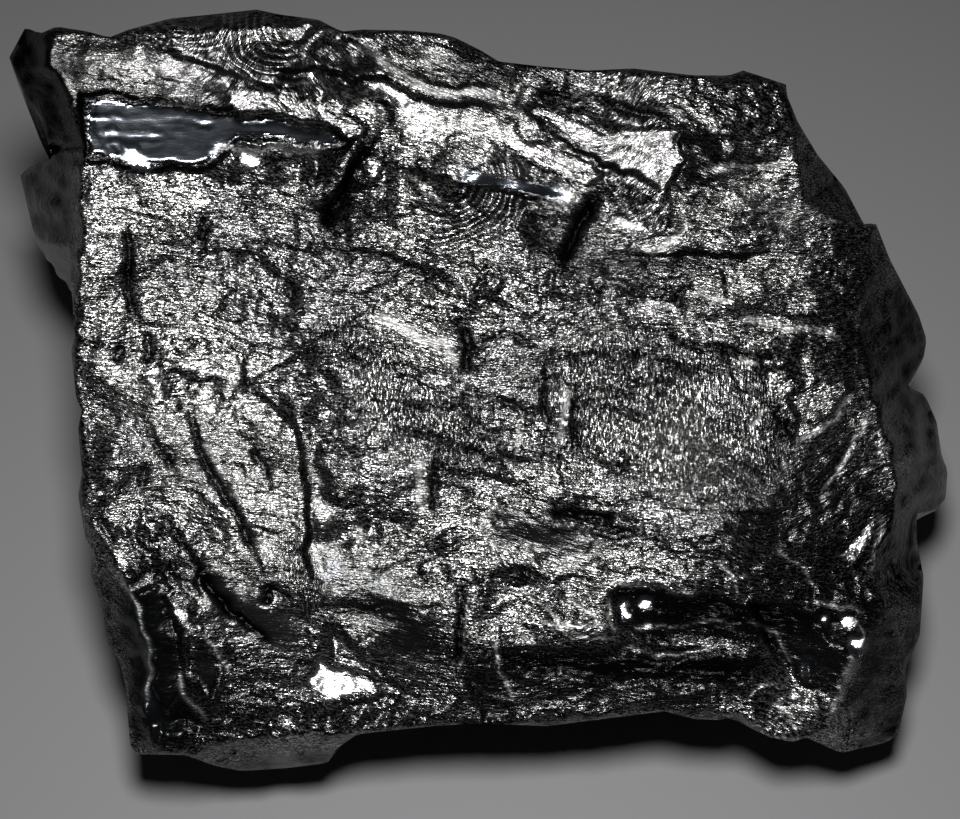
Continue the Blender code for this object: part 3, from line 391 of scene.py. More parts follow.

# Flat chips: (outline, slope along u, slope along v, added lustre, polish). The added lustre is a painted
# highlight on chips above zero and painted shade on chips below zero
CHIPS = (
    # glassy channel, its bright bands and the white parallelogram
    (((-40.4, 31.7), (-38, 31.8), (-33, 31.4), (-27, 30.6), (-22, 30), (-17, 29), (-12.8, 27.5),
      (-14, 25.6), (-16.2, 25.3), (-20, 26.2), (-24, 26.9), (-27.5, 24.5), (-29, 23.8), (-33, 24),
      (-36.5, 24.3), (-40, 24.8)), -0.11, 0.1, 0, 1),
    (((-39.8, 29.6), (-27, 28.8), (-27, 28.3), (-39.8, 29)), -0.1, 0, 0.2, 0.9),
    (((-38.4, 27.9), (-30, 27.7), (-28.8, 27.3), (-33, 27), (-38.4, 27.2)), -0.11, -0.05, 0.5, 0.9),
    (((-37.6, 26.8), (-31, 26.9), (-31, 26.5), (-37.6, 26.3)), -0.1, -0.04, 0.3, 0.9),
    (((-24.4, 26.4), (-22.2, 26.2), (-21.5, 24.6), (-22.6, 23.6), (-24, 24.6)), -0.07, -0.05, 2, 0.7),
    (((-36.6, 26.8), (-34.4, 26.8), (-32.6, 24), (-35.4, 24)), -0.11, -0.05, 0.9, 0.9),
    (((-24.8, 27.4), (-14.8, 26), (-14.8, 25.4), (-24.8, 26.7)), -0.06, -0.04, 0.9, 0.9),
    (((-27.8, 26.6), (-26.4, 26.8), (-26, 25.2), (-27.4, 24.8)), -0.08, -0.05, 1, 0.8),
    (((-26, 25.6), (-24.8, 25.6), (-24.6, 24.6), (-25.8, 24.4)), -0.08, -0.05, 1, 0.8),
    # flake, leaf, lens, slit and upper leaf of the folded strip
    (((-21.3, 38.7), (-16.8, 39), (-16.4, 38.3), (-18.5, 36.4), (-19.9, 36.4)), -0.16, 0.02, 0.3, 0.4),
    (((-25, 32.4), (-20.1, 31.8), (-16.4, 30.9), (-13.6, 30.3), (-11.1, 28.4), (-11.9, 27.3),
      (-13.6, 27.3), (-16.4, 28.1), (-18.9, 28.7), (-25, 29.7)), -0.05, 0.04, 0.2, 0.3),
    (((-12.8, 33.2), (-7, 32), (-6.9, 28.4), (-9.3, 30.7), (-11.9, 32.4)), -0.03, -0.02, 1, 0.4),
    (((-12.3, 32), (-10.7, 31.3), (-7.7, 28.9), (-7, 28.2), (-9.1, 28.5), (-10.7, 30.1)), 0.25, 0.25, -1.6,
      0.6),
    (((-10.8, 37.6), (-7, 37.4), (-2.4, 36.4), (3, 33.6), (3.6, 31.6), (-3.6, 32.4), (-7.5, 34.2),
      (-9.6, 35.6)), -0.03, -0.2, -0.6, 0.4),
    (((-11.8, 25.7), (-9.6, 26), (-9.9, 23.2), (-11.6, 22.8)), -0.03, -0.05, 0.5, 0),
    # the two panels right of the top middle, with the smooth dark strip above them
    (((-6.8, 31.3), (-3, 30.4), (3.2, 29.2), (4.4, 27.2), (7.3, 26.3), (12.4, 23.9), (11.4, 22.4),
      (8.8, 22.9), (6.3, 24.3), (2.1, 26.4), (-2.6, 27.5), (-3.8, 26.2), (-6.6, 26.4), (-9.8, 28.5)), 0,
      -0.03, 0.5, 0.35),
    (((4.1, 30.5), (5.7, 30.9), (9.6, 29.1), (12.4, 27.4), (14.1, 28.1), (20.4, 28.7), (19.7, 26.8),
      (20.8, 25.6), (18.6, 21.5), (16.5, 22.7), (14.1, 23.8), (11.2, 24.8), (9.6, 26), (7.7, 27.4),
      (6.1, 28.7)), 0.03, -0.05, 0.4, 0.35),
    (((5, 32.4), (11.4, 31.8), (11, 29.6), (7, 30.6)), 0.05, 0.16, -0.9, 0.5),
    # under the wedge panel
    (((12.4, 19.9), (13.3, 19.9), (16.9, 17.7), (15.7, 16.9), (12.6, 18.9)), 0.05, -0.07, 0.8, 0.5),
    (((12.2, 23.2), (14.6, 22.6), (18.2, 21), (15.8, 19.4), (13, 20.8)), -0.1, 0.12, -0.5, 0.5),
    (((15.8, 18.6), (19, 20.4), (19.4, 18.2), (17.6, 17.2)), 0.1, -0.16, 0, 0.4),
    (((24, 14.6), (28, 14.3), (28.2, 11.4), (24.6, 11.6)), 0.08, -0.08, 0.2, 0.1),
    (((15, 11), (20, 11), (20.2, 9.4), (15.6, 9.6)), 0.05, -0.09, 0.3, 0.3),
    # lower left: black polished facets and the small white ones
    (((-35, -18.4), (-33.2, -22.8), (-33, -27.6), (-31.4, -31.4), (-29.6, -28.2), (-30.2, -22),
      (-32.4, -17.6)), -0.3, 0.1, -0.2, 0.55),
    (((-29.4, -22.6), (-27.4, -23), (-24.9, -26.2), (-26.6, -30.4), (-29.6, -26.2)), 0.25, 0.1, -0.2, 0.5),
    (((-31.6, -19.6), (-29.4, -20.2), (-28.8, -21.2), (-30, -21.4), (-31.8, -20.6)), -0.09, -0.19, 0.9,
      0.6),
    (((-29.4, -18.2), (-28.8, -18.4), (-28.9, -19.8), (-29.5, -19.4)), -0.09, -0.18, 0.9, 0.6),
    # white triangle at the foot of the left plate
    (((-16.5, -24.1), (-17.9, -27.2), (-15.1, -29.5), (-12.9, -28.5), (-10.2, -28.4), (-11.2, -27.2),
      (-13.5, -26), (-15.3, -25.6)), -0.045, -0.205, 1.5, 0.45),
    (((-15.8, -21.4), (-15, -22.2), (-9.4, -27.2), (-11, -27), (-15.2, -25.4)), -0.02, -0.1, 0.6, 0.2),
    # dark lenses below the middle
    (((9.8, -11.4), (13.2, -10.8), (16.2, -12.6), (13, -12.9)), 0, 0.35, -0.8, 0.6),
    (((2.2, -17), (5, -15.8), (6.4, -17.2), (3.6, -18)), 0.1, 0.35, -0.8, 0.6),
    # dark lower band with its glints
    (((12.8, -18), (16.4, -17.2), (20.6, -18.4), (25, -18.6), (29.6, -19.8), (30, -23.8), (24, -22.8),
      (17, -23.4), (13.6, -21.8)), 0.1, 0.26, -1.3, 0.45),
    (((-2, -23.6), (4, -24.6), (11, -24.2), (18, -24.8), (24.4, -24.2), (28.6, -25.2), (26, -27.6),
      (19, -26.6), (12, -27.4), (5, -26)), 0, 0.26, -1.3, 0.45),
    (((-1.6, -27), (24, -27.6), (24.2, -30.4), (17, -29.8), (0, -30.8)), 0, 0.2, -0.3, 0.3),
    (((13.2, -18.9), (15, -18.7), (15.8, -21), (13.9, -21.4)), 0.05, -0.19, 1.8, 0.8),
    (((15.8, -18.8), (17.6, -18.6), (17.4, -20.6), (16, -20.4)), 0.05, -0.19, 1.8, 0.8),
    (((15, -21.2), (17.6, -21), (17.2, -22.4), (15.2, -22.6)), 0.05, -0.19, 1.2, 0.7),
    (((6.8, -21), (12.4, -21.3), (12.2, -21.9), (6.6, -21.7)), 0.03, -0.19, 0.6, 0.5),
    # right-hand end
    (((30.6, 1.4), (36.8, 3.2), (37, 1.6), (33.6, -2.2), (30.8, -3.4), (31.8, -0.6)), 0.05, -0.07, 0, 0),
    (((26.8, -1.4), (28.2, -1.2), (27.8, -4), (26.7, -3.6)), 0.08, -0.13, 0.5, 0.1),
    (((39.6, -9.8), (39.4, -13), (37.9, -15.2), (35.4, -15), (37.4, -12.6)), 0.04, -0.12, 1, 0.3),
    (((26.8, -19.2), (34, -19.6), (35.4, -23), (38, -25), (36.4, -28.6), (32, -27.8), (29, -24)), 0.26,
      0.2, -1.2, 0.5),
    (((33.6, -19.8), (35.4, -20.4), (34.8, -21.8), (33.4, -21.2)), 0.11, -0.19, 1.8, 0.7),
    (((36, -19.8), (38.2, -20.8), (37.4, -22.4), (35.8, -21.6)), 0.11, -0.19, 1.8, 0.8),
    (((36.8, -22.6), (39, -22.8), (38, -24.6), (36.4, -24)), 0.11, -0.19, 1.8, 0.8),
    (((31.8, -24.4), (33.6, -24.8), (33.2, -27.6), (31.6, -27.8)), -0.02, 0, 0.3, 0.8),
    (((29, -28.4), (33.5, -28.2), (34.6, -31), (31.4, -33), (27.6, -31.8)), 0.03, -0.02, 0.3, 0.2),
)

# Fans of shell-like ripples: (u, v, radius, pitch, strength, direction in degrees that the fan opens to)
RIPPLES = (
    (-15.5, 8, 7, 0.75, 0.5, -50),
    (13.5, 5, 5.6, 0.7, 0.7, 70),
    (-3.6, 22.6, 10, 0.75, 1, -55),
    (9.6, -20.5, 5, 0.75, 0.8, -90),
    (27.5, -33, 6.5, 0.65, 0.9, 50),
    (-19.6, 38.2, 8.5, 0.9, 1, -135),
    (-29, 41, 8, 0.8, 0.8, -110),
    (27.4, 8.6, 3.8, 0.6, 0.9, -40),
    (33, 14.5, 7, 0.8, 0.7, -80),
    (-30, 18, 6, 0.8, 0.6, -80),
)

# Soft zones, each a rounded bar: (u and v of one end, u and v of the other end, half width, amount).
# Lustre and painted light: brighter above zero, darker below zero; 0.7 doubles the usual brightness. These
# zones are partly the coal's own bright and dull bands, and partly painted light on plateaus that face the
# lamp and painted shade where the face turns away from it
LUSTRE_AND_PAINTED_LIGHT = (
    # upper left: bright plateau, plate under it, panel above the channel, horn and the lobe under it
    (-38, 23, -30, 21.5, 3.4, 0.6), (-38, 14, -31, 12, 4, 0.2), (-37, 34.5, -28, 34.5, 3, 0.2),
    (-45, 37, -43, 27, 3, -1.6), (-44, 24, -43.5, 18, 2, -0.9),
    # leaf and panels along the top, and the darker ground above them
    (-12, 31.4, -8, 30, 1.8, 0.3), (-6, 28.6, 3, 27.6, 2.4, 0.5), (7, 28, 18, 25, 2.2, 0.3),
    (-1, 33.8, 6, 32.8, 2, -0.4), (26, 31, 31, 30.5, 2.4, -0.5),
    # slanted notch, slit, shade below the wedge panel and at its right edge, bright upper right
    (-14, 22, -15, 18, 2.6, -1.2), (5.6, 19.6, 8.6, 14.8, 2.4, -1.2), (11, 14.8, 26, 15, 1.3, -0.9),
    (22.4, 28, 22.2, 21, 2.2, -0.9), (30, 24, 30.5, 17.5, 2.4, 0.4),
    # right-hand end, dark beyond its edge
    (36, 14, 41, 2, 4, -1.2), (26, 0.5, 34, 4.5, 2, -0.5), (28, -9, 38, -8, 4, -0.9),
    (24, -14, 36, -16, 3.6, -0.9), (42, -10, 42, -33, 3, -0.7),
    # lower half, darker downwards
    (-15, -14, -4, -15, 3.6, -0.4), (3, -12, 11, -14, 3, -0.9), (-12, -20, -4, -24, 4, -0.9),
    (19, -20.6, 38, -20, 2.4, -1.4), (-1, -25.6, 26, -25.6, 2, -1.8), (-1, -29.4, 26, -28.6, 2.4, -0.7),
    (-22, -27, -26, -31, 4, -0.9), (-33, -18, -31, -32, 3.6, -1.4), (-14, -32, 20, -32, 1.6, -0.9),
)

# Polish: 1 is glassy, about 0.5 is smooth with faint grain
POLISH = (
    (-22, 34.4, 2, 31.4, 3.6, 0.35), (-4, 27, 18, 24, 3, 0.25), (-40, 34.4, -27, 33.4, 3, 0.5),
    (24, 25, 31, 19, 3.6, 0.25), (2.5, -11.6, 9.5, -13.6, 2.6, 0.55), (-35, 2, -30, -6, 4, 0.25),
    (-25, 2, -22, -12, 4.5, 0.3), (-16.6, -6, -15, -17, 1.8, 0.35), (-13, -17, -8, -22, 4, 0.3),
    (-27, -18, -20, -22.5, 2.6, 0.6), (39.5, -24, 39, -30, 3.2, 0.5), (42.5, 5, 43, 2, 2, 0.8),
    (28, -21.4, 34, -22.4, 1.6, 0.5), (-1.6, 23.4, 8.5, 21.4, 0.9, 0.9), (-45, 36, -44, 28, 2.6, 0.6),
    (-34, -20, -32, -31, 2.6, 0.8), (-10, -17, -6, -25, 3, 0.3),
)

# Zones where the grain runs down the face in fine strokes
STROKED = (
    (13, 1, 24, -3, 6.5, 1.3), (-8, 0, -2, -3, 4, 0.9), (-14, 7, -11, 4, 3, 0.7),
    (-19, -14, -17, -19, 1.6, 0.8),
)

# Crumpled zones, broken into small tilted facets
CRUMPLED = (
    (-33.5, -12.5, -29.5, -19, 2.4, 1), (-22, -29, -5, -31.5, 1.6, 0.9), (-34, -33.5, -24, -34.5, 1.6, 0.9),
    (26, -18, 38, -19, 2.6, 0.7), (30, -6, 38, -14, 4, 0.6), (1, 12.5, 13, 11, 2.6, 0.6),
    (-3, -3, 8, -5, 3.6, 0.35), (22, 31.5, 30, 30.5, 2, 0.5), (6, -19.5, 12, -21.5, 2, 0.5),
    (-30, 16, -24, 12, 3, 0.4),
)

# Underside: patch that the lump rests on, and flat or scooped breaks across the hidden sides
BASE = (
    (-26, -14), (-16, -17.5), (0, -19), (18, -18.5), (28, -15), (32.5, -5), (33, 6), (29, 17), (19, 25.5),
    (4, 28.5), (-16, 28.5), (-28, 22.5), (-32, 9), (-30.5, -4),
)
BASE_CENTRE = (0, 4)
FLAT_BREAKS = (
    # (direction the break faces, how far its plane passes from the middle of the lump)
    ((-0.76, 0.1, -0.64), 35),
    ((-0.5, 0.6, -0.62), 36.5),
    ((0.15, 0.78, -0.6), 30),
    ((0.66, 0.48, -0.58), 37),
    ((0.84, -0.2, -0.5), 42.5),
    ((-0.62, -0.52, -0.58), 41.5),
    ((-0.4, 0.91, 0.05), 41),
    ((0.62, 0.78, 0), 37.5),
    ((0.1, 0.99, 0), 29.5),
)
SCOOPED_BREAKS = (
    # (centre of the round break, its radius)
    ((17, 55, 20), 28),
    ((-31, 54, 10), 27),
    ((-61, -4, 10), 25),
    ((59, 12, 5), 24),
)
LUMP_MIDDLE = (0, 3, 23)


def path_reach(points, path):
    """Distance from a path, side of it (+1 right, -1 left) and share of the way from its nearer end."""
    nearest = np.full(len(points), np.inf)
    offset = np.zeros(len(points))
    travelled = np.zeros(len(points))
    length_before = 0.0
    for start, end in zip(np.array(path[:-1]), np.array(path[1:])):
        span = end - start
        length = math.hypot(*span)
        gap = points - start
        share = np.clip(gap @ span / length**2, 0.0, 1.0)
        distance = np.hypot(*(gap - share[:, None] * span).T)
        across = (gap[:, 0] * span[1] - gap[:, 1] * span[0]) / length
        tied = np.abs(distance - nearest) < 1e-9
        better = (distance < nearest - 1e-9) | (tied & (np.abs(across) > np.abs(offset)))
        nearest = np.where(better, distance, nearest)
        offset = np.where(better, across, offset)
        travelled = np.where(better, length_before + share * length, travelled)
        length_before += length
    from_end = np.minimum(travelled, length_before - travelled)
    return nearest, np.sign(offset), from_end / length_before


def smooth(value):
    """0 below 0, 1 above 1, and an even curve between."""
    value = np.clip(value, 0.0, 1.0)
    return value * value * (3.0 - 2.0 * value)


def ramp(value, bend):
    """0 for low values and the value itself for high ones, turning over a width of about bend."""
    return bend * np.logaddexp(0.0, value / bend)


def step(points, path, drop, riser, climb):
    distance, side, from_end = path_reach(points, path)
    fall = smooth(distance / riser) * np.exp(-CLIMB_RATE * distance / climb)
    return -drop * smooth(from_end / 0.3) * fall * (side > 0.0)


def groove(points, path, depth, half_width):
    distance, _, from_end = path_reach(points, path)
    taper = 0.2 + 0.8 * smooth(from_end / 0.25)
    return -depth * taper * np.exp(-((distance / half_width) ** 2))


def crack(points, path, depth, half_width):
    distance, _, from_end = path_reach(points, path)
    return -depth * smooth(from_end / 0.35) * np.exp(-distance / half_width)


def dome(points, u, v, radius_u, radius_v, height):
    reach = ((points[:, 0] - u) / radius_u) ** 2 + ((points[:, 1] - v) / radius_v) ** 2
    return height * np.exp(-1.4 * reach)


def waves(points, scale, seed):
    """Smooth noise between about -1 and 1; scale gives the size of a wave along each axis."""
    places = np.zeros((len(points), 3))
    places[:, : points.shape[1]] = points / np.array(scale)
    return np.array([noise.noise(Vector(place) + Vector((seed, 2.0 * seed, 0.5))) for place in places])


def swells(points, layers, start=0.0):
    """Layers of smooth noise on top of a start."""
    total = start
    for height, scale, seed in layers:
        total = total + height * waves(points, scale, seed)
    return total


def scatter(points, scale, seeds):
    """Two unlike smooth noises side by side, one for each axis."""
    return np.column_stack([waves(points, (scale, scale), seed) for seed in seeds])


def shards(points, size, seed):
    """Small tilted flat facets, as on a crushed edge, between about -1 and 1."""
    heights = []
    for u, v in points / size:
        centre = noise.voronoi(Vector((u, v, seed)))[1][0]
        tilt = noise.cell_vector(centre * 7.3) * 2.0 - Vector((1.0, 1.0, 1.0))
        heights.append(tilt.x * (u - centre.x) + tilt.y * (v - centre.y))
    return np.array(heights)


def inside(points, outline):
    """True for each point that lies within a closed outline."""
    within = np.zeros(len(points), bool)
    corners = np.array(outline)
    for start, end in zip(corners, np.roll(corners, -1, axis=0)):
        spans = (start[1] > points[:, 1]) != (end[1] > points[:, 1])
        rise = end[1] - start[1]
        crossing = start[0] + (points[:, 1] - start[1]) * (end[0] - start[0]) / (rise if rise else 1.0)
        within ^= spans & (points[:, 0] < crossing)
    return within


def flank_fall(points):
    """How far the flanks outside the rim lie below the face."""
    rim = np.array(RIM)
    nearest = np.full(len(points), np.inf)
    fall = np.zeros(len(points))
    for start, end in zip(rim, np.roll(rim, -1, axis=0)):
        span = end[:2] - start[:2]
        gap = points - start[:2]
        share = np.clip(gap @ span / (span @ span), 0.0, 1.0)
        distance = np.hypot(*(gap - share[:, None] * span).T)
        slope = start[2] + share * (end[2] - start[2])
        closer = distance < nearest
        nearest = np.where(closer, distance, nearest)
        fall = np.where(closer, slope * distance, fall)
    return np.where(inside(points, rim[:, :2]), 0.0, fall)


def wander(points):
    """Sideways drift of the broken edges, so that none of them runs quite straight."""
    return 0.55 * scatter(points, 4.0, (41.0, 47.0)) + 0.35 * scatter(points, 1.2, (43.0, 53.0))


def face_height(points):
    """Height w of the lump over the face plane at each (u, v)."""
    u, v = points.T
    height = ((u - DISH_CENTRE[0]) ** 2 + (v - DISH_CENTRE[1]) ** 2) / (2.0 * FACE_DISH)
    for along_u, along_v, start, width, slope in BENDS:
        height -= slope * ramp(along_u * u + along_v * v - start, width)
    height = swells(points, FACE_SWELLS, height)
    patch_u, patch_v, radius = CRUSHED_PATCH
    crushed = smooth(1.0 - np.abs(v - CRUSHED_EDGE[0]) / CRUSHED_EDGE[1])
    crushed += smooth(1.0 - np.hypot(u - patch_u, v - patch_v) / radius)
    height += crushed * shards(points, CRUSHED_SIZE, 5.0)
    drifted = points + wander(points)
    worn = 1.0 + 0.8 * waves(points, (2.6, 2.6), 57.0)
    for path, drop, riser, climb in STEPS:
        height += worn * step(drifted, path, drop, riser, climb)
    for path, depth, half_width in GROOVES:
        height += groove(drifted, path, depth, half_width)
    for path, depth, half_width in CRACKS:
        height += worn * crack(drifted, path, max(depth, CREST_HEIGHT * depth), half_width)
    for place in DOMES:
        height += dome(points, *place)
    return height - flank_fall(drifted)


def resample(corners, spacing):
    """Evenly spaced points round a closed outline."""
    corners = np.array(corners)
    closed = np.vstack([corners, corners[:1]])
    lengths = np.hypot(*np.diff(closed, axis=0).T)
    places = np.concatenate([[0.0], np.cumsum(lengths)])
    count = int(round(places[-1] / spacing))
    stops = np.arange(count) * places[-1] / count
    return np.column_stack([np.interp(stops, places, closed[:, axis]) for axis in (0, 1)])


def beside(path, offset, spacing):
    """Points along a path, moved to its right by an offset."""
    points = []
    for start, end in zip(np.array(path[:-1]), np.array(path[1:])):
        span = end - start
        length = math.hypot(*span)
        right = np.array([span[1], -span[0]]) / length
        for share in np.arange(0.5 * spacing, length, spacing) / length:
            points.append(start + share * span + offset * right)
    return points


def edge_points():
    """Points that follow the head and foot of each step and the bed and banks of each groove."""
    points = []
    for path, _, riser, _ in STEPS:
        points += beside(path, -0.1, 0.5) + beside(path, riser, 0.5)
    rim = [place[:2] for place in RIM + RIM[:1]]
    points += beside(rim, 0.0, 1.0)
    for path, _, half_width in GROOVES + CRACKS:
        points += beside(path, 0.0, 0.5)
        points += beside(path, 1.3 * half_width, 0.8) + beside(path, -1.3 * half_width, 0.8)
    points = np.array(points)
    return points - wander(points)


def thinned(points, settled, gap):
    """The points that lie at least a gap from each other and from the settled ones."""
    taken = {}
    kept = []
    for index, place in enumerate(np.vstack([settled, points])):
        cell = (int(place[0] // gap), int(place[1] // gap))
        near = [
            other
            for column in (-1, 0, 1)
            for row in (-1, 0, 1)
            for other in taken.get((cell[0] + column, cell[1] + row), ())
        ]
        free = all(math.hypot(*(place - other)) >= gap for other in near)
        if index < len(settled) or free:
            taken.setdefault(cell, []).append(place)
            kept.append(place)
    return np.array(kept)


def face_points(outline):
    """Outline points first, then points along the broken edges, then a staggered grid."""
    low = outline.min(axis=0)
    high = outline.max(axis=0)
    rows = np.arange(low[1], high[1], CELL * 0.87)
    grid = []
    for index, row in enumerate(rows):
        columns = np.arange(low[0] + 0.5 * CELL * (index % 2), high[0], CELL)
        grid.append(np.column_stack([columns, np.full(len(columns), row)]))
    points = np.vstack([edge_points()] + grid)
    points = points[inside(points, outline)]
    closed = np.vstack([outline, outline[:1]])
    points = points[path_reach(points, closed)[0] > 0.6 * CELL]
    return thinned(points, outline, 0.6 * CELL)


def to_world(points, height):
    """Face coordinates to world: the face leans back by FACE_TILT and stands FACE_RISE above the ground."""
    u, v = points.T * (1.0 - WIDENING * height)
    y = v * math.cos(FACE_TILT) - height * math.sin(FACE_TILT)
    z = v * math.sin(FACE_TILT) + height * math.cos(FACE_TILT) + FACE_RISE
    return np.column_stack([u, y, z])


def base_ring(top_ring):
    """The point of the resting patch's edge that lies under each point of the widest outline."""
    centre = np.array(BASE_CENTRE)
    corners = np.array(BASE) - centre
    corner_angles = np.arctan2(corners[:, 1], corners[:, 0])
    corner_radii = np.hypot(*corners.T)
    order = np.argsort(corner_angles)
    spokes = top_ring[:, :2] - centre
    angles = np.arctan2(spokes[:, 1], spokes[:, 0])
    radii = np.interp(angles, corner_angles[order], corner_radii[order], period=2.0 * math.pi)
    return np.column_stack([np.cos(angles), np.sin(angles)]) * radii[:, None] + centre


def break_off(ring, share):
    """Flattens, scoops and roughens one ring of the hidden sides, moving its points sideways only."""
    middle = np.array(LUMP_MIDDLE)
    moved = ring.copy()
    for direction, distance in FLAT_BREAKS:
        facing = np.array(direction) / math.sqrt(sum(part * part for part in direction))
        proud = np.maximum(0.0, (moved - middle) @ facing - distance)
        level = facing[:2] / (facing[:2] @ facing[:2])
        moved[:, :2] -= 0.94 * proud[:, None] * level
    for centre, radius in SCOOPED_BREAKS:
        spoke = moved[:, :2] - np.array(centre[:2])
        reach = np.hypot(*spoke.T)
        level_radius = np.sqrt(np.maximum(0.0, radius**2 - (moved[:, 2] - centre[2]) ** 2))
        moved[:, :2] += spoke * (np.maximum(0.0, level_radius - reach) / reach)[:, None]
    outward = moved[:, :2] - middle[:2]
    outward /= np.hypot(*outward.T)[:, None]
    relief = swells(moved, FLANK_SWELLS)
    relief -= 1.2 * smooth((-10.0 - moved[:, 1]) / 10.0)
    moved[:, :2] += outward * relief[:, None]
    return ring + (moved - ring) * smooth(share / 0.25)


def under_rings(top_ring):
    """Rings of points from the widest outline down to the resting patch."""
    ground = base_ring(top_ring)
    behind = smooth((top_ring[:, 1] + 16.0) / 26.0)
    belly = 1.0 + 1.2 * behind
    rings = []
    for index in range(1, RING_STEPS + 1):
        share = index / RING_STEPS
        ring = np.empty_like(top_ring)
        ring[:, :2] = top_ring[:, :2] + (ground - top_ring[:, :2]) * (share**belly)[:, None]
        ring[:, 2] = top_ring[:, 2] * (1.0 - share)
        rings.append(break_off(ring, share))
    return rings


def zone_sum(points, zones):
    """Sum of soft rounded bars."""
    total = np.zeros(len(points))
    for start_u, start_v, end_u, end_v, half_width, amount in zones:
        distance = path_reach(points, ((start_u, start_v), (end_u, end_v)))[0]
        total += amount * np.exp(-((distance / half_width) ** 2))
    return total


def lean(points, u, v, radius_u, radius_v, slope_u, slope_v):
    """A patch of the face tipped about its middle."""
    across = points[:, 0] - u
    up = points[:, 1] - v
    reach = (across / radius_u) ** 2 + (up / radius_v) ** 2
    return (slope_u * across + slope_v * up) * np.exp(-0.8 * reach)


def chip_depth(points, outline):
    """How far each point lies inside the edge of a chip, and below zero outside it."""
    distance = path_reach(points, outline + outline[:1])[0]
    return np.where(inside(points, outline), distance, -distance)


def seam(points, path, half_width, taper):
    """1 along a path and 0 away from it, fading over the taper's share of its length at each end."""
    distance, _, from_end = path_reach(points, path)
    return np.exp(-((distance / half_width) ** 2)) * smooth(from_end / taper)


def edge_shade(points):
    """Painted shade along the risers and in the cracks."""
    shade = np.zeros(len(points))
    for path, drop, riser, _ in STEPS:
        distance, side, from_end = path_reach(points, path)
        band = smooth(1.3 - distance / riser) * (side > 0.0)
        shade -= min(drop, 1.0) * RISER_PAINTED_SHADE * smooth(from_end / 0.2) * band
    for path, depth, half_width in CRACKS:
        if depth > 0.0:
            shade -= min(CRACK_PAINTED_SHADE * depth, DARKEST_CRACK_SHADE) * seam(points, path, half_width, 0.2)
    return shade


def painted_crest_highlights(points):
    """How plainly a crest shows at each point, for the painted highlight along it."""
    shown = np.zeros(len(points))
    for path, depth, half_width in CRACKS:
        if depth < 0.0:
            plainness = min(-CREST_PLAINNESS * depth, 1.0)
            shown = np.maximum(shown, plainness * seam(points, path, half_width, 0.15))
    return shown


def ripples(points):
    """How many ripples each point lies from the middle of its fan, and how plainly the fan shows there."""
    count = np.zeros(len(points))
    shown = np.zeros(len(points))
    wobble = swells(points, FAN_WOBBLE)
    for u, v, radius, pitch, strength, opening in RIPPLES:
        across = points[:, 0] - u
        up = points[:, 1] - v
        reach = np.maximum(np.hypot(across, up * 1.15) + wobble, 0.5)
        facing = across * math.cos(math.radians(opening)) + up * math.sin(math.radians(opening))
        window = strength * smooth(1.4 * facing / reach)
        window *= smooth(reach / 1.5) * smooth((radius - reach) / 3.0)
        count = np.where(window > shown, reach / pitch, count)
        shown = np.maximum(shown, window)
    return np.column_stack([count, shown, np.zeros(len(points))])


def flow(points):
    """Face coordinates bent so that the first runs along the bedding and the second across it."""
    u, v = points.T
    upper = smooth((v + 0.35 * u - 16.0) / 14.0) * smooth((19.0 - u) / 8.0) * smooth((u + 30.0) / 8.0)
    right = smooth((u - 24.0) / 6.0) * smooth((9.0 - v) / 12.0) * smooth((v + 20.0) / 10.0)
    bend = 2.0 * waves(points, (13.0, 9.0), 97.0)
    return np.column_stack([u, v + 0.10 * u + 0.32 * (u + 4.0) * upper - 0.5 * (u - 33.0) * right + bend])


def bedding(places):
    """Low wandering ledges across the bedding, each with its steep side facing down the face."""
    level = swells(places, BED_SWELLS, places[:, 1] / BED_THICKNESS)
    part = level - np.floor(level)
    profile = np.where(part < LEDGE_STEEP, part / LEDGE_STEEP, (1.0 - part) / (1.0 - LEDGE_STEEP))
    strength = smooth(0.30 + 1.6 * waves(places, (5.0, 4.0), 35.0))
    return LEDGE_HEIGHT * strength * profile


def fine_relief(points, crumpled):
    """Streaks, small ledges and facets too small for the solid."""
    places = flow(points)
    jagged = places + 0.45 * scatter(points, 1.3, (83.0, 89.0))
    relief = 0.42 * waves(places, (6.0, 4.0), 91.0)
    relief += swells(jagged, JAGGED_RELIEF)
    relief += bedding(places + 0.4 * (jagged - places))
    relief += FACET_HEIGHT * shards(jagged / np.array((2.6, 1.8)), 1.0, 17.0)
    relief += CRUMPLED_HEIGHT * crumpled * shards(jagged, 1.6, 27.0)
    return relief


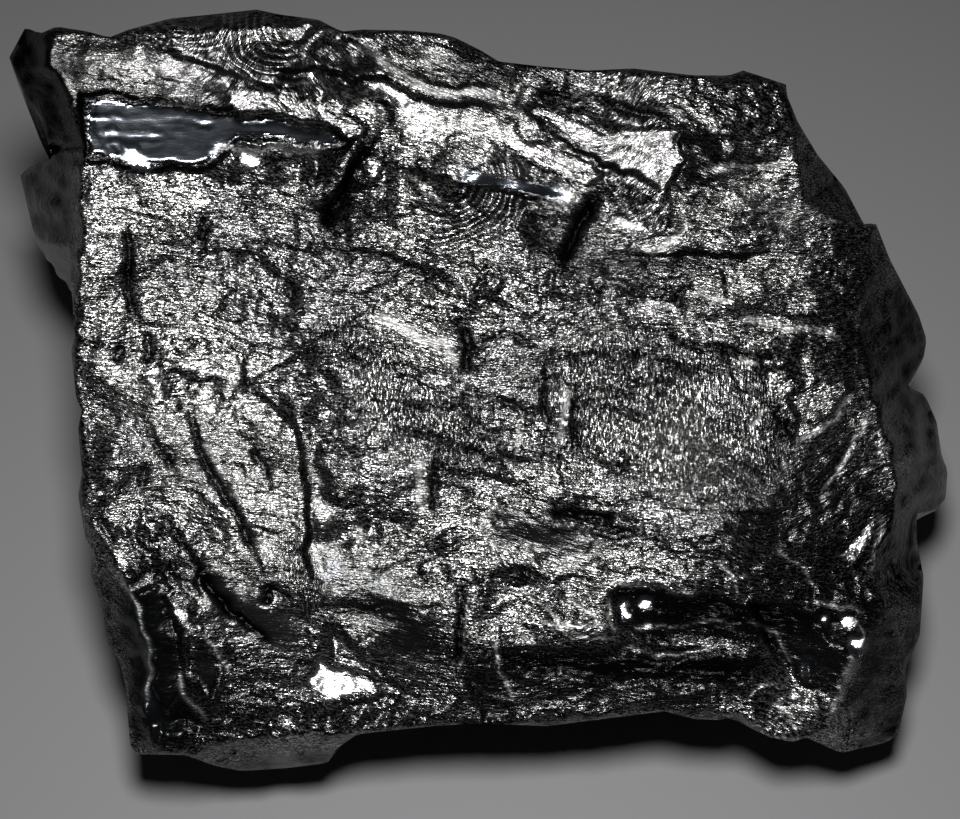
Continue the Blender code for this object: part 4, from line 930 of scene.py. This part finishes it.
def fine_height(points):
    """Height w of the finished surface, with its lustre (the coal's own bands with painted light and
    shade), polish and crests, at each (u, v).
    """
    u, v = points.T
    # lustre starts from the zones: the coal's own bands together with painted light and shade
    lustre_and_painted_light = zone_sum(points, LUSTRE_AND_PAINTED_LIGHT)
    polish = zone_sum(points, POLISH)
    height = face_height(points)
    for patch in LEANS:
        height += lean(points, *patch)
    drifted = points + wander(points)
    painted_rim_shade = np.zeros(len(points))
    for outline, slope_u, slope_v, bright, gloss in CHIPS:
        depth = chip_depth(drifted, outline)
        share = smooth(depth / CHIP_EDGE)
        tilt = slope_u * u + slope_v * v
        flat = tilt + np.average(height - tilt, weights=share)
        height += share * (flat - height)
        # painted highlight on chips whose added lustre is above zero, painted shade on those below zero
        lustre_and_painted_light += bright * share
        if bright > 0.0:
            painted_rim_shade *= 1.0 - share
            polish = np.maximum(polish, gloss * share)
        else:
            # painted shade just inside the rim of each broad chip; chips with a painted highlight wipe it
            # out
            painted_rim_shade = np.maximum(painted_rim_shade, gloss**4 * np.exp(-(((depth - 0.35) / 0.4) ** 2)))
            polish = np.maximum(polish, gloss * smooth(depth / CHIP_EDGE - 2.0))
    lustre_and_painted_light -= CHIP_RIM_PAINTED_SHADE * painted_rim_shade
    # painted shade in risers and cracks, and on the flanks that fall away outside the rim
    flank = smooth((flank_fall(drifted) - 2.5) / 3.0)
    lustre_and_painted_light += edge_shade(drifted) - FLANK_PAINTED_SHADE * flank
    polish = np.clip(np.maximum(polish, FLANK_POLISH * flank), 0.0, 1.0)
    crests = painted_crest_highlights(drifted)
    # painted highlight along the crests: their lustre is pulled up to a fixed brightness
    lustre_and_painted_light += crests * (PAINTED_CREST_HIGHLIGHT - lustre_and_painted_light)
    polish += crests * (CREST_POLISH - polish)
    relief = fine_relief(points, zone_sum(points, CRUMPLED))
    return height + relief * (1.0 - SMOOTHING * polish), lustre_and_painted_light, polish, crests


def lump_mesh():
    """Points and faces of the closed lump, in millimetres, with the values its surface is drawn from."""
    outline = resample(OUTLINE, OUTLINE_CELL)
    plan = face_points(outline)
    ring_size = len(outline)
    edges = [(index, (index + 1) % ring_size) for index in range(ring_size)]
    flat = delaunay_2d_cdt([Vector(place) for place in plan], edges, [], 1, 1e-6)
    plan = np.array([tuple(place) for place in flat[0]])
    faces = [tuple(face) for face in flat[2]]
    height, lustre_and_painted_light, polish, crests = fine_height(plan)
    face_side = to_world(plan, height)
    bedded = np.column_stack([flow(plan), height])
    stroked = np.clip(zone_sum(plan, STROKED), 0.0, 1.0)
    fans = ripples(plan) * (1.0 - smooth((polish - 0.5) / 0.3))[:, None]
    rings = under_rings(face_side[:ring_size])
    beds = [bedded]
    for ring in rings:
        fallen = ring - face_side[:ring_size]
        beds.append(bedded[:ring_size] + fallen[:, (0, 2, 1)] * np.array((1.0, 1.0, 0.5)))
    points = np.vstack([face_side] + rings)
    upper = list(range(ring_size))
    for index in range(len(rings)):
        lower = [len(face_side) + index * ring_size + place for place in range(ring_size)]
        for place in range(ring_size):
            after = (place + 1) % ring_size
            faces.append((upper[place], upper[after], lower[after], lower[place]))
        upper = lower
    faces.append(tuple(upper))
    hidden = np.zeros(len(points) - len(face_side))
    points[:, :2] -= np.array(BOX_MIDDLE)
    values = {
        # lustre carries painted light and shade along with the coal's own bands
        "lustre_and_painted_light": np.concatenate([lustre_and_painted_light, hidden + HIDDEN_LUSTRE]),
        "polish": np.concatenate([polish, hidden + HIDDEN_POLISH]),
        "crests": np.concatenate([crests, hidden]),
        "stroked": np.concatenate([stroked, hidden]),
        "fans": np.vstack([fans, np.zeros((len(hidden), 3))]),
        "bedded": np.vstack(beds),
    }
    return points, faces, values


def fitted(points):
    """The points stretched evenly along each axis, so that they just fill the box of the solid."""
    low, high = (np.array(corner) / MM for corner in CAD_BOX)
    low = low + BOX_GAP
    high = high - BOX_GAP
    least = points.min(axis=0)
    return low + (points - least) / (points.max(axis=0) - least) * (high - low)


def add_attribute(mesh, name, values):
    kind, field = ("FLOAT_VECTOR", "vector") if values.ndim == 2 else ("FLOAT", "value")
    attribute = mesh.attributes.new(name, kind, "POINT")
    attribute.data.foreach_set(field, values.astype(np.float32).ravel())


def node(tree, kind, **settings):
    made = tree.nodes.new(kind)
    for name, value in settings.items():
        setattr(made, name, value)
    return made


def read_attribute(tree, name, output="Fac"):
    return node(tree, "ShaderNodeAttribute", attribute_name=name).outputs[output]


def noise_texture(tree, place, stretch, detail, distortion=0.0):
    """Noise at a place given in millimetres; stretch gives waves for each millimetre along each axis."""
    mapping = node(tree, "ShaderNodeMapping")
    mapping.inputs["Scale"].default_value = stretch
    tree.links.new(place, mapping.inputs["Vector"])
    texture = node(tree, "ShaderNodeTexNoise")
    texture.inputs["Scale"].default_value = 1.0
    texture.inputs["Detail"].default_value = detail
    texture.inputs["Roughness"].default_value = 0.6
    texture.inputs["Distortion"].default_value = distortion
    tree.links.new(mapping.outputs["Vector"], texture.inputs["Vector"])
    return texture.outputs["Fac"]


def ledge_texture(tree, place):
    """Saw-toothed bands across the bedding, broken up by noise."""
    wave = node(tree, "ShaderNodeTexWave", wave_type="BANDS", bands_direction="Y", wave_profile="SAW")
    wave.inputs["Scale"].default_value = 0.09
    wave.inputs["Distortion"].default_value = 9.0
    wave.inputs["Detail"].default_value = 4.0
    wave.inputs["Detail Scale"].default_value = 1.6
    wave.inputs["Detail Roughness"].default_value = 0.6
    tree.links.new(place, wave.inputs["Vector"])
    broken = ranged(tree, noise_texture(tree, place, (0.35, 0.6, 0.5), 2.0), 0.45, 0.60, 0.0, 1.0)
    return calculated(tree, "MULTIPLY", wave.outputs["Fac"], broken)


def feed(tree, sockets, values):
    """Links each socket to its value, or sets it when the value is a number or a colour."""
    for socket, value in zip(sockets, values):
        if isinstance(value, bpy.types.NodeSocket):
            tree.links.new(value, socket)
        else:
            socket.default_value = value


def calculated(tree, operation, first, second=0.0):
    """A Math node on two sockets or numbers."""
    made = node(tree, "ShaderNodeMath", operation=operation)
    feed(tree, made.inputs, (first, second))
    return made.outputs["Value"]


def blended(tree, share, first, second, kind="FLOAT"):
    """The first value where the share is 0, the second where it is 1."""
    made = node(tree, "ShaderNodeMix", data_type=kind)
    sockets = [socket for socket in made.inputs if socket.enabled]
    feed(tree, sockets, (share, first, second))
    return [socket for socket in made.outputs if socket.enabled][0]


def ranged(tree, value, low, high, to_low, to_high):
    made = node(tree, "ShaderNodeMapRange")
    for name, number in (("From Min", low), ("From Max", high), ("To Min", to_low), ("To Max", to_high)):
        made.inputs[name].default_value = number
    tree.links.new(value, made.inputs["Value"])
    return made.outputs["Result"]


def bumped(tree, height, distance, below=None):
    """A Bump node over the one below it; distance is in metres."""
    bump = node(tree, "ShaderNodeBump")
    bump.inputs["Distance"].default_value = distance
    bump.inputs["Strength"].default_value = 1.0
    tree.links.new(height, bump.inputs["Height"])
    if below:
        tree.links.new(below, bump.inputs["Normal"])
    return bump.outputs["Normal"]


def coal_material():
    """Black submetallic coal: silver-grey glints on a grainy surface, glassy where it broke smooth."""
    material = bpy.data.materials.new("anthracite surface")
    material.use_nodes = True
    tree = material.node_tree
    shader = tree.nodes["Principled BSDF"]
    bedded = read_attribute(tree, "bedded", "Vector")
    # the lustre attribute brings painted light and shade into the colour, together with the coal's own
    # bands
    lustre_and_painted_light = calculated(tree, "EXPONENT", read_attribute(tree, "lustre_and_painted_light"))
    polish = read_attribute(tree, "polish")
    crests = read_attribute(tree, "crests")
    stroked = read_attribute(tree, "stroked")

    fans = node(tree, "ShaderNodeSeparateXYZ")
    tree.links.new(read_attribute(tree, "fans", "Vector"), fans.inputs["Vector"])
    arcs = calculated(tree, "SINE", calculated(tree, "MULTIPLY", fans.outputs["X"], 2.0 * math.pi))
    arcs = ranged(tree, arcs, -0.3, 1.0, 0.3, 2.3)
    arcs = blended(tree, fans.outputs["Y"], 1.0, arcs)

    streak = noise_texture(tree, bedded, (0.5, 2.4, 1.5), 3.0)
    stroke = noise_texture(tree, bedded, (5.6, 1.7, 1.5), 1.0, 0.6)
    grain = noise_texture(tree, bedded, (2.8, 8.0, 5.0), 1.0, 0.5)
    speck = noise_texture(tree, bedded, (4.4, 9.6, 6.0), 0.0, 0.5)
    thread = noise_texture(tree, bedded, (1.2, 7.0, 4.0), 1.0, 0.8)
    ledge = ledge_texture(tree, bedded)
    patch = noise_texture(tree, bedded, (0.22, 0.40, 0.4), 3.0)

    speck = blended(tree, stroked, blended(tree, 0.58, speck, thread), stroke)
    specks = ranged(tree, speck, 0.455, 0.60, 0.0, 2.3)
    specks = calculated(tree, "MULTIPLY", specks, specks)
    specks = blended(tree, ranged(tree, polish, 0.1, 0.55, 0.14, 0.9), specks, 0.8)
    glint = calculated(tree, "MULTIPLY", lustre_and_painted_light, ranged(tree, patch, 0.3, 0.7, 0.06, 0.175))
    glint = calculated(tree, "MULTIPLY", glint, calculated(tree, "MULTIPLY", specks, arcs))
    colour = blended(tree, calculated(tree, "MINIMUM", glint, 0.9), COAL, SILVER, "RGBA")
    sheen = blended(tree, calculated(tree, "MULTIPLY", lustre_and_painted_light, 0.16), COAL, GLASS, "RGBA")
    glassy = ranged(tree, polish, 0.5, 0.9, 0.0, 1.0)
    tree.links.new(blended(tree, glassy, colour, sheen, "RGBA"), shader.inputs["Base Color"])
    roughness = ranged(tree, glassy, 0.0, 1.0, GRAINY_ROUGHNESS, GLASSY_ROUGHNESS)
    roughness = blended(tree, crests, roughness, CREST_ROUGHNESS)
    tree.links.new(roughness, shader.inputs["Roughness"])
    shader.inputs["Metallic"].default_value = METALLIC

    keep = ranged(tree, polish, 0.0, 1.0, 1.0, 0.04)
    lines = calculated(tree, "MULTIPLY", blended(tree, stroked, streak, stroke), keep)
    relief = bumped(tree, lines, STREAK_DEPTH)
    relief = bumped(tree, calculated(tree, "MULTIPLY", ledge, keep), LEDGE_DEPTH, relief)
    relief = bumped(tree, calculated(tree, "MULTIPLY", grain, keep), GRAIN_DEPTH, relief)
    relief = bumped(tree, arcs, ARC_DEPTH, relief)
    tree.links.new(relief, shader.inputs["Normal"])
    return material


def build_lump():
    points, faces, values = lump_mesh()
    points = fitted(points)
    mesh = bpy.data.meshes.new("lump_surface")
    mesh.from_pydata([tuple(place) for place in points * MM], [], faces)
    mesh.shade_smooth()
    for name, numbers in values.items():
        add_attribute(mesh, name, numbers)
    mesh.materials.append(coal_material())
    lump = bpy.data.objects.new("lump_surface", mesh)
    bpy.context.scene.collection.objects.link(lump)
    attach(lump, "root")
    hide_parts("anthracite_lump")


def face_place(u, v, w):
    """World place, in metres, of a point given from the face."""
    y = v * math.cos(FACE_TILT) - w * math.sin(FACE_TILT) - BOX_MIDDLE[1]
    z = v * math.sin(FACE_TILT) + w * math.cos(FACE_TILT) + FACE_RISE
    return Vector((u - BOX_MIDDLE[0], y, z)) * MM


def aimed(item, target):
    item.rotation_euler = (target - item.location).to_track_quat("-Z", "Y").to_euler()
    bpy.context.scene.collection.objects.link(item)


def build_camera():
    camera = bpy.data.cameras.new("camera")
    camera.sensor_width = 36.0
    camera.lens = VIEW_LENS
    camera.clip_start = 0.01
    seat = bpy.data.objects.new("camera", camera)
    seat.location = face_place(0.0, 0.0, VIEW_DISTANCE)
    aimed(seat, face_place(0.0, 0.0, 0.0))
    bpy.context.scene.camera = seat


def build_light():
    light = bpy.data.lights.new("soft light", "AREA")
    light.shape = "DISK"
    light.size = LIGHT_WIDTH
    light.energy = LIGHT_POWER
    light.spread = LIGHT_SPREAD
    lamp = bpy.data.objects.new("soft light", light)
    up = LIGHT_DISTANCE * math.sin(LIGHT_ABOVE)
    lamp.location = face_place(0.0, up, LIGHT_DISTANCE * math.cos(LIGHT_ABOVE))
    aimed(lamp, face_place(*LIGHT_AIM))
    world = bpy.data.worlds.new("room")
    world.use_nodes = True
    background = world.node_tree.nodes["Background"]
    background.inputs["Color"].default_value = ROOM_COLOUR
    background.inputs["Strength"].default_value = ROOM_GLOW
    bpy.context.scene.world = world
    bpy.context.scene.view_settings.view_transform = "Standard"


def build_floor():
    mesh = bpy.data.meshes.new("floor")
    corners = [(FLOOR_REACH * x, FLOOR_REACH * y, 0.0) for x, y in ((-1, -1), (1, -1), (1, 1), (-1, 1))]
    mesh.from_pydata(corners, [], [(0, 1, 2, 3)])
    material = bpy.data.materials.new("pale paper")
    material.use_nodes = True
    shader = material.node_tree.nodes["Principled BSDF"]
    shader.inputs["Base Color"].default_value = PAPER
    shader.inputs["Roughness"].default_value = 0.9
    mesh.materials.append(material)
    floor = bpy.data.objects.new("floor", mesh)
    floor.location.z = -FLOOR_DROP
    bpy.context.scene.collection.objects.link(floor)


build_lump()
build_camera()
build_light()
build_floor()
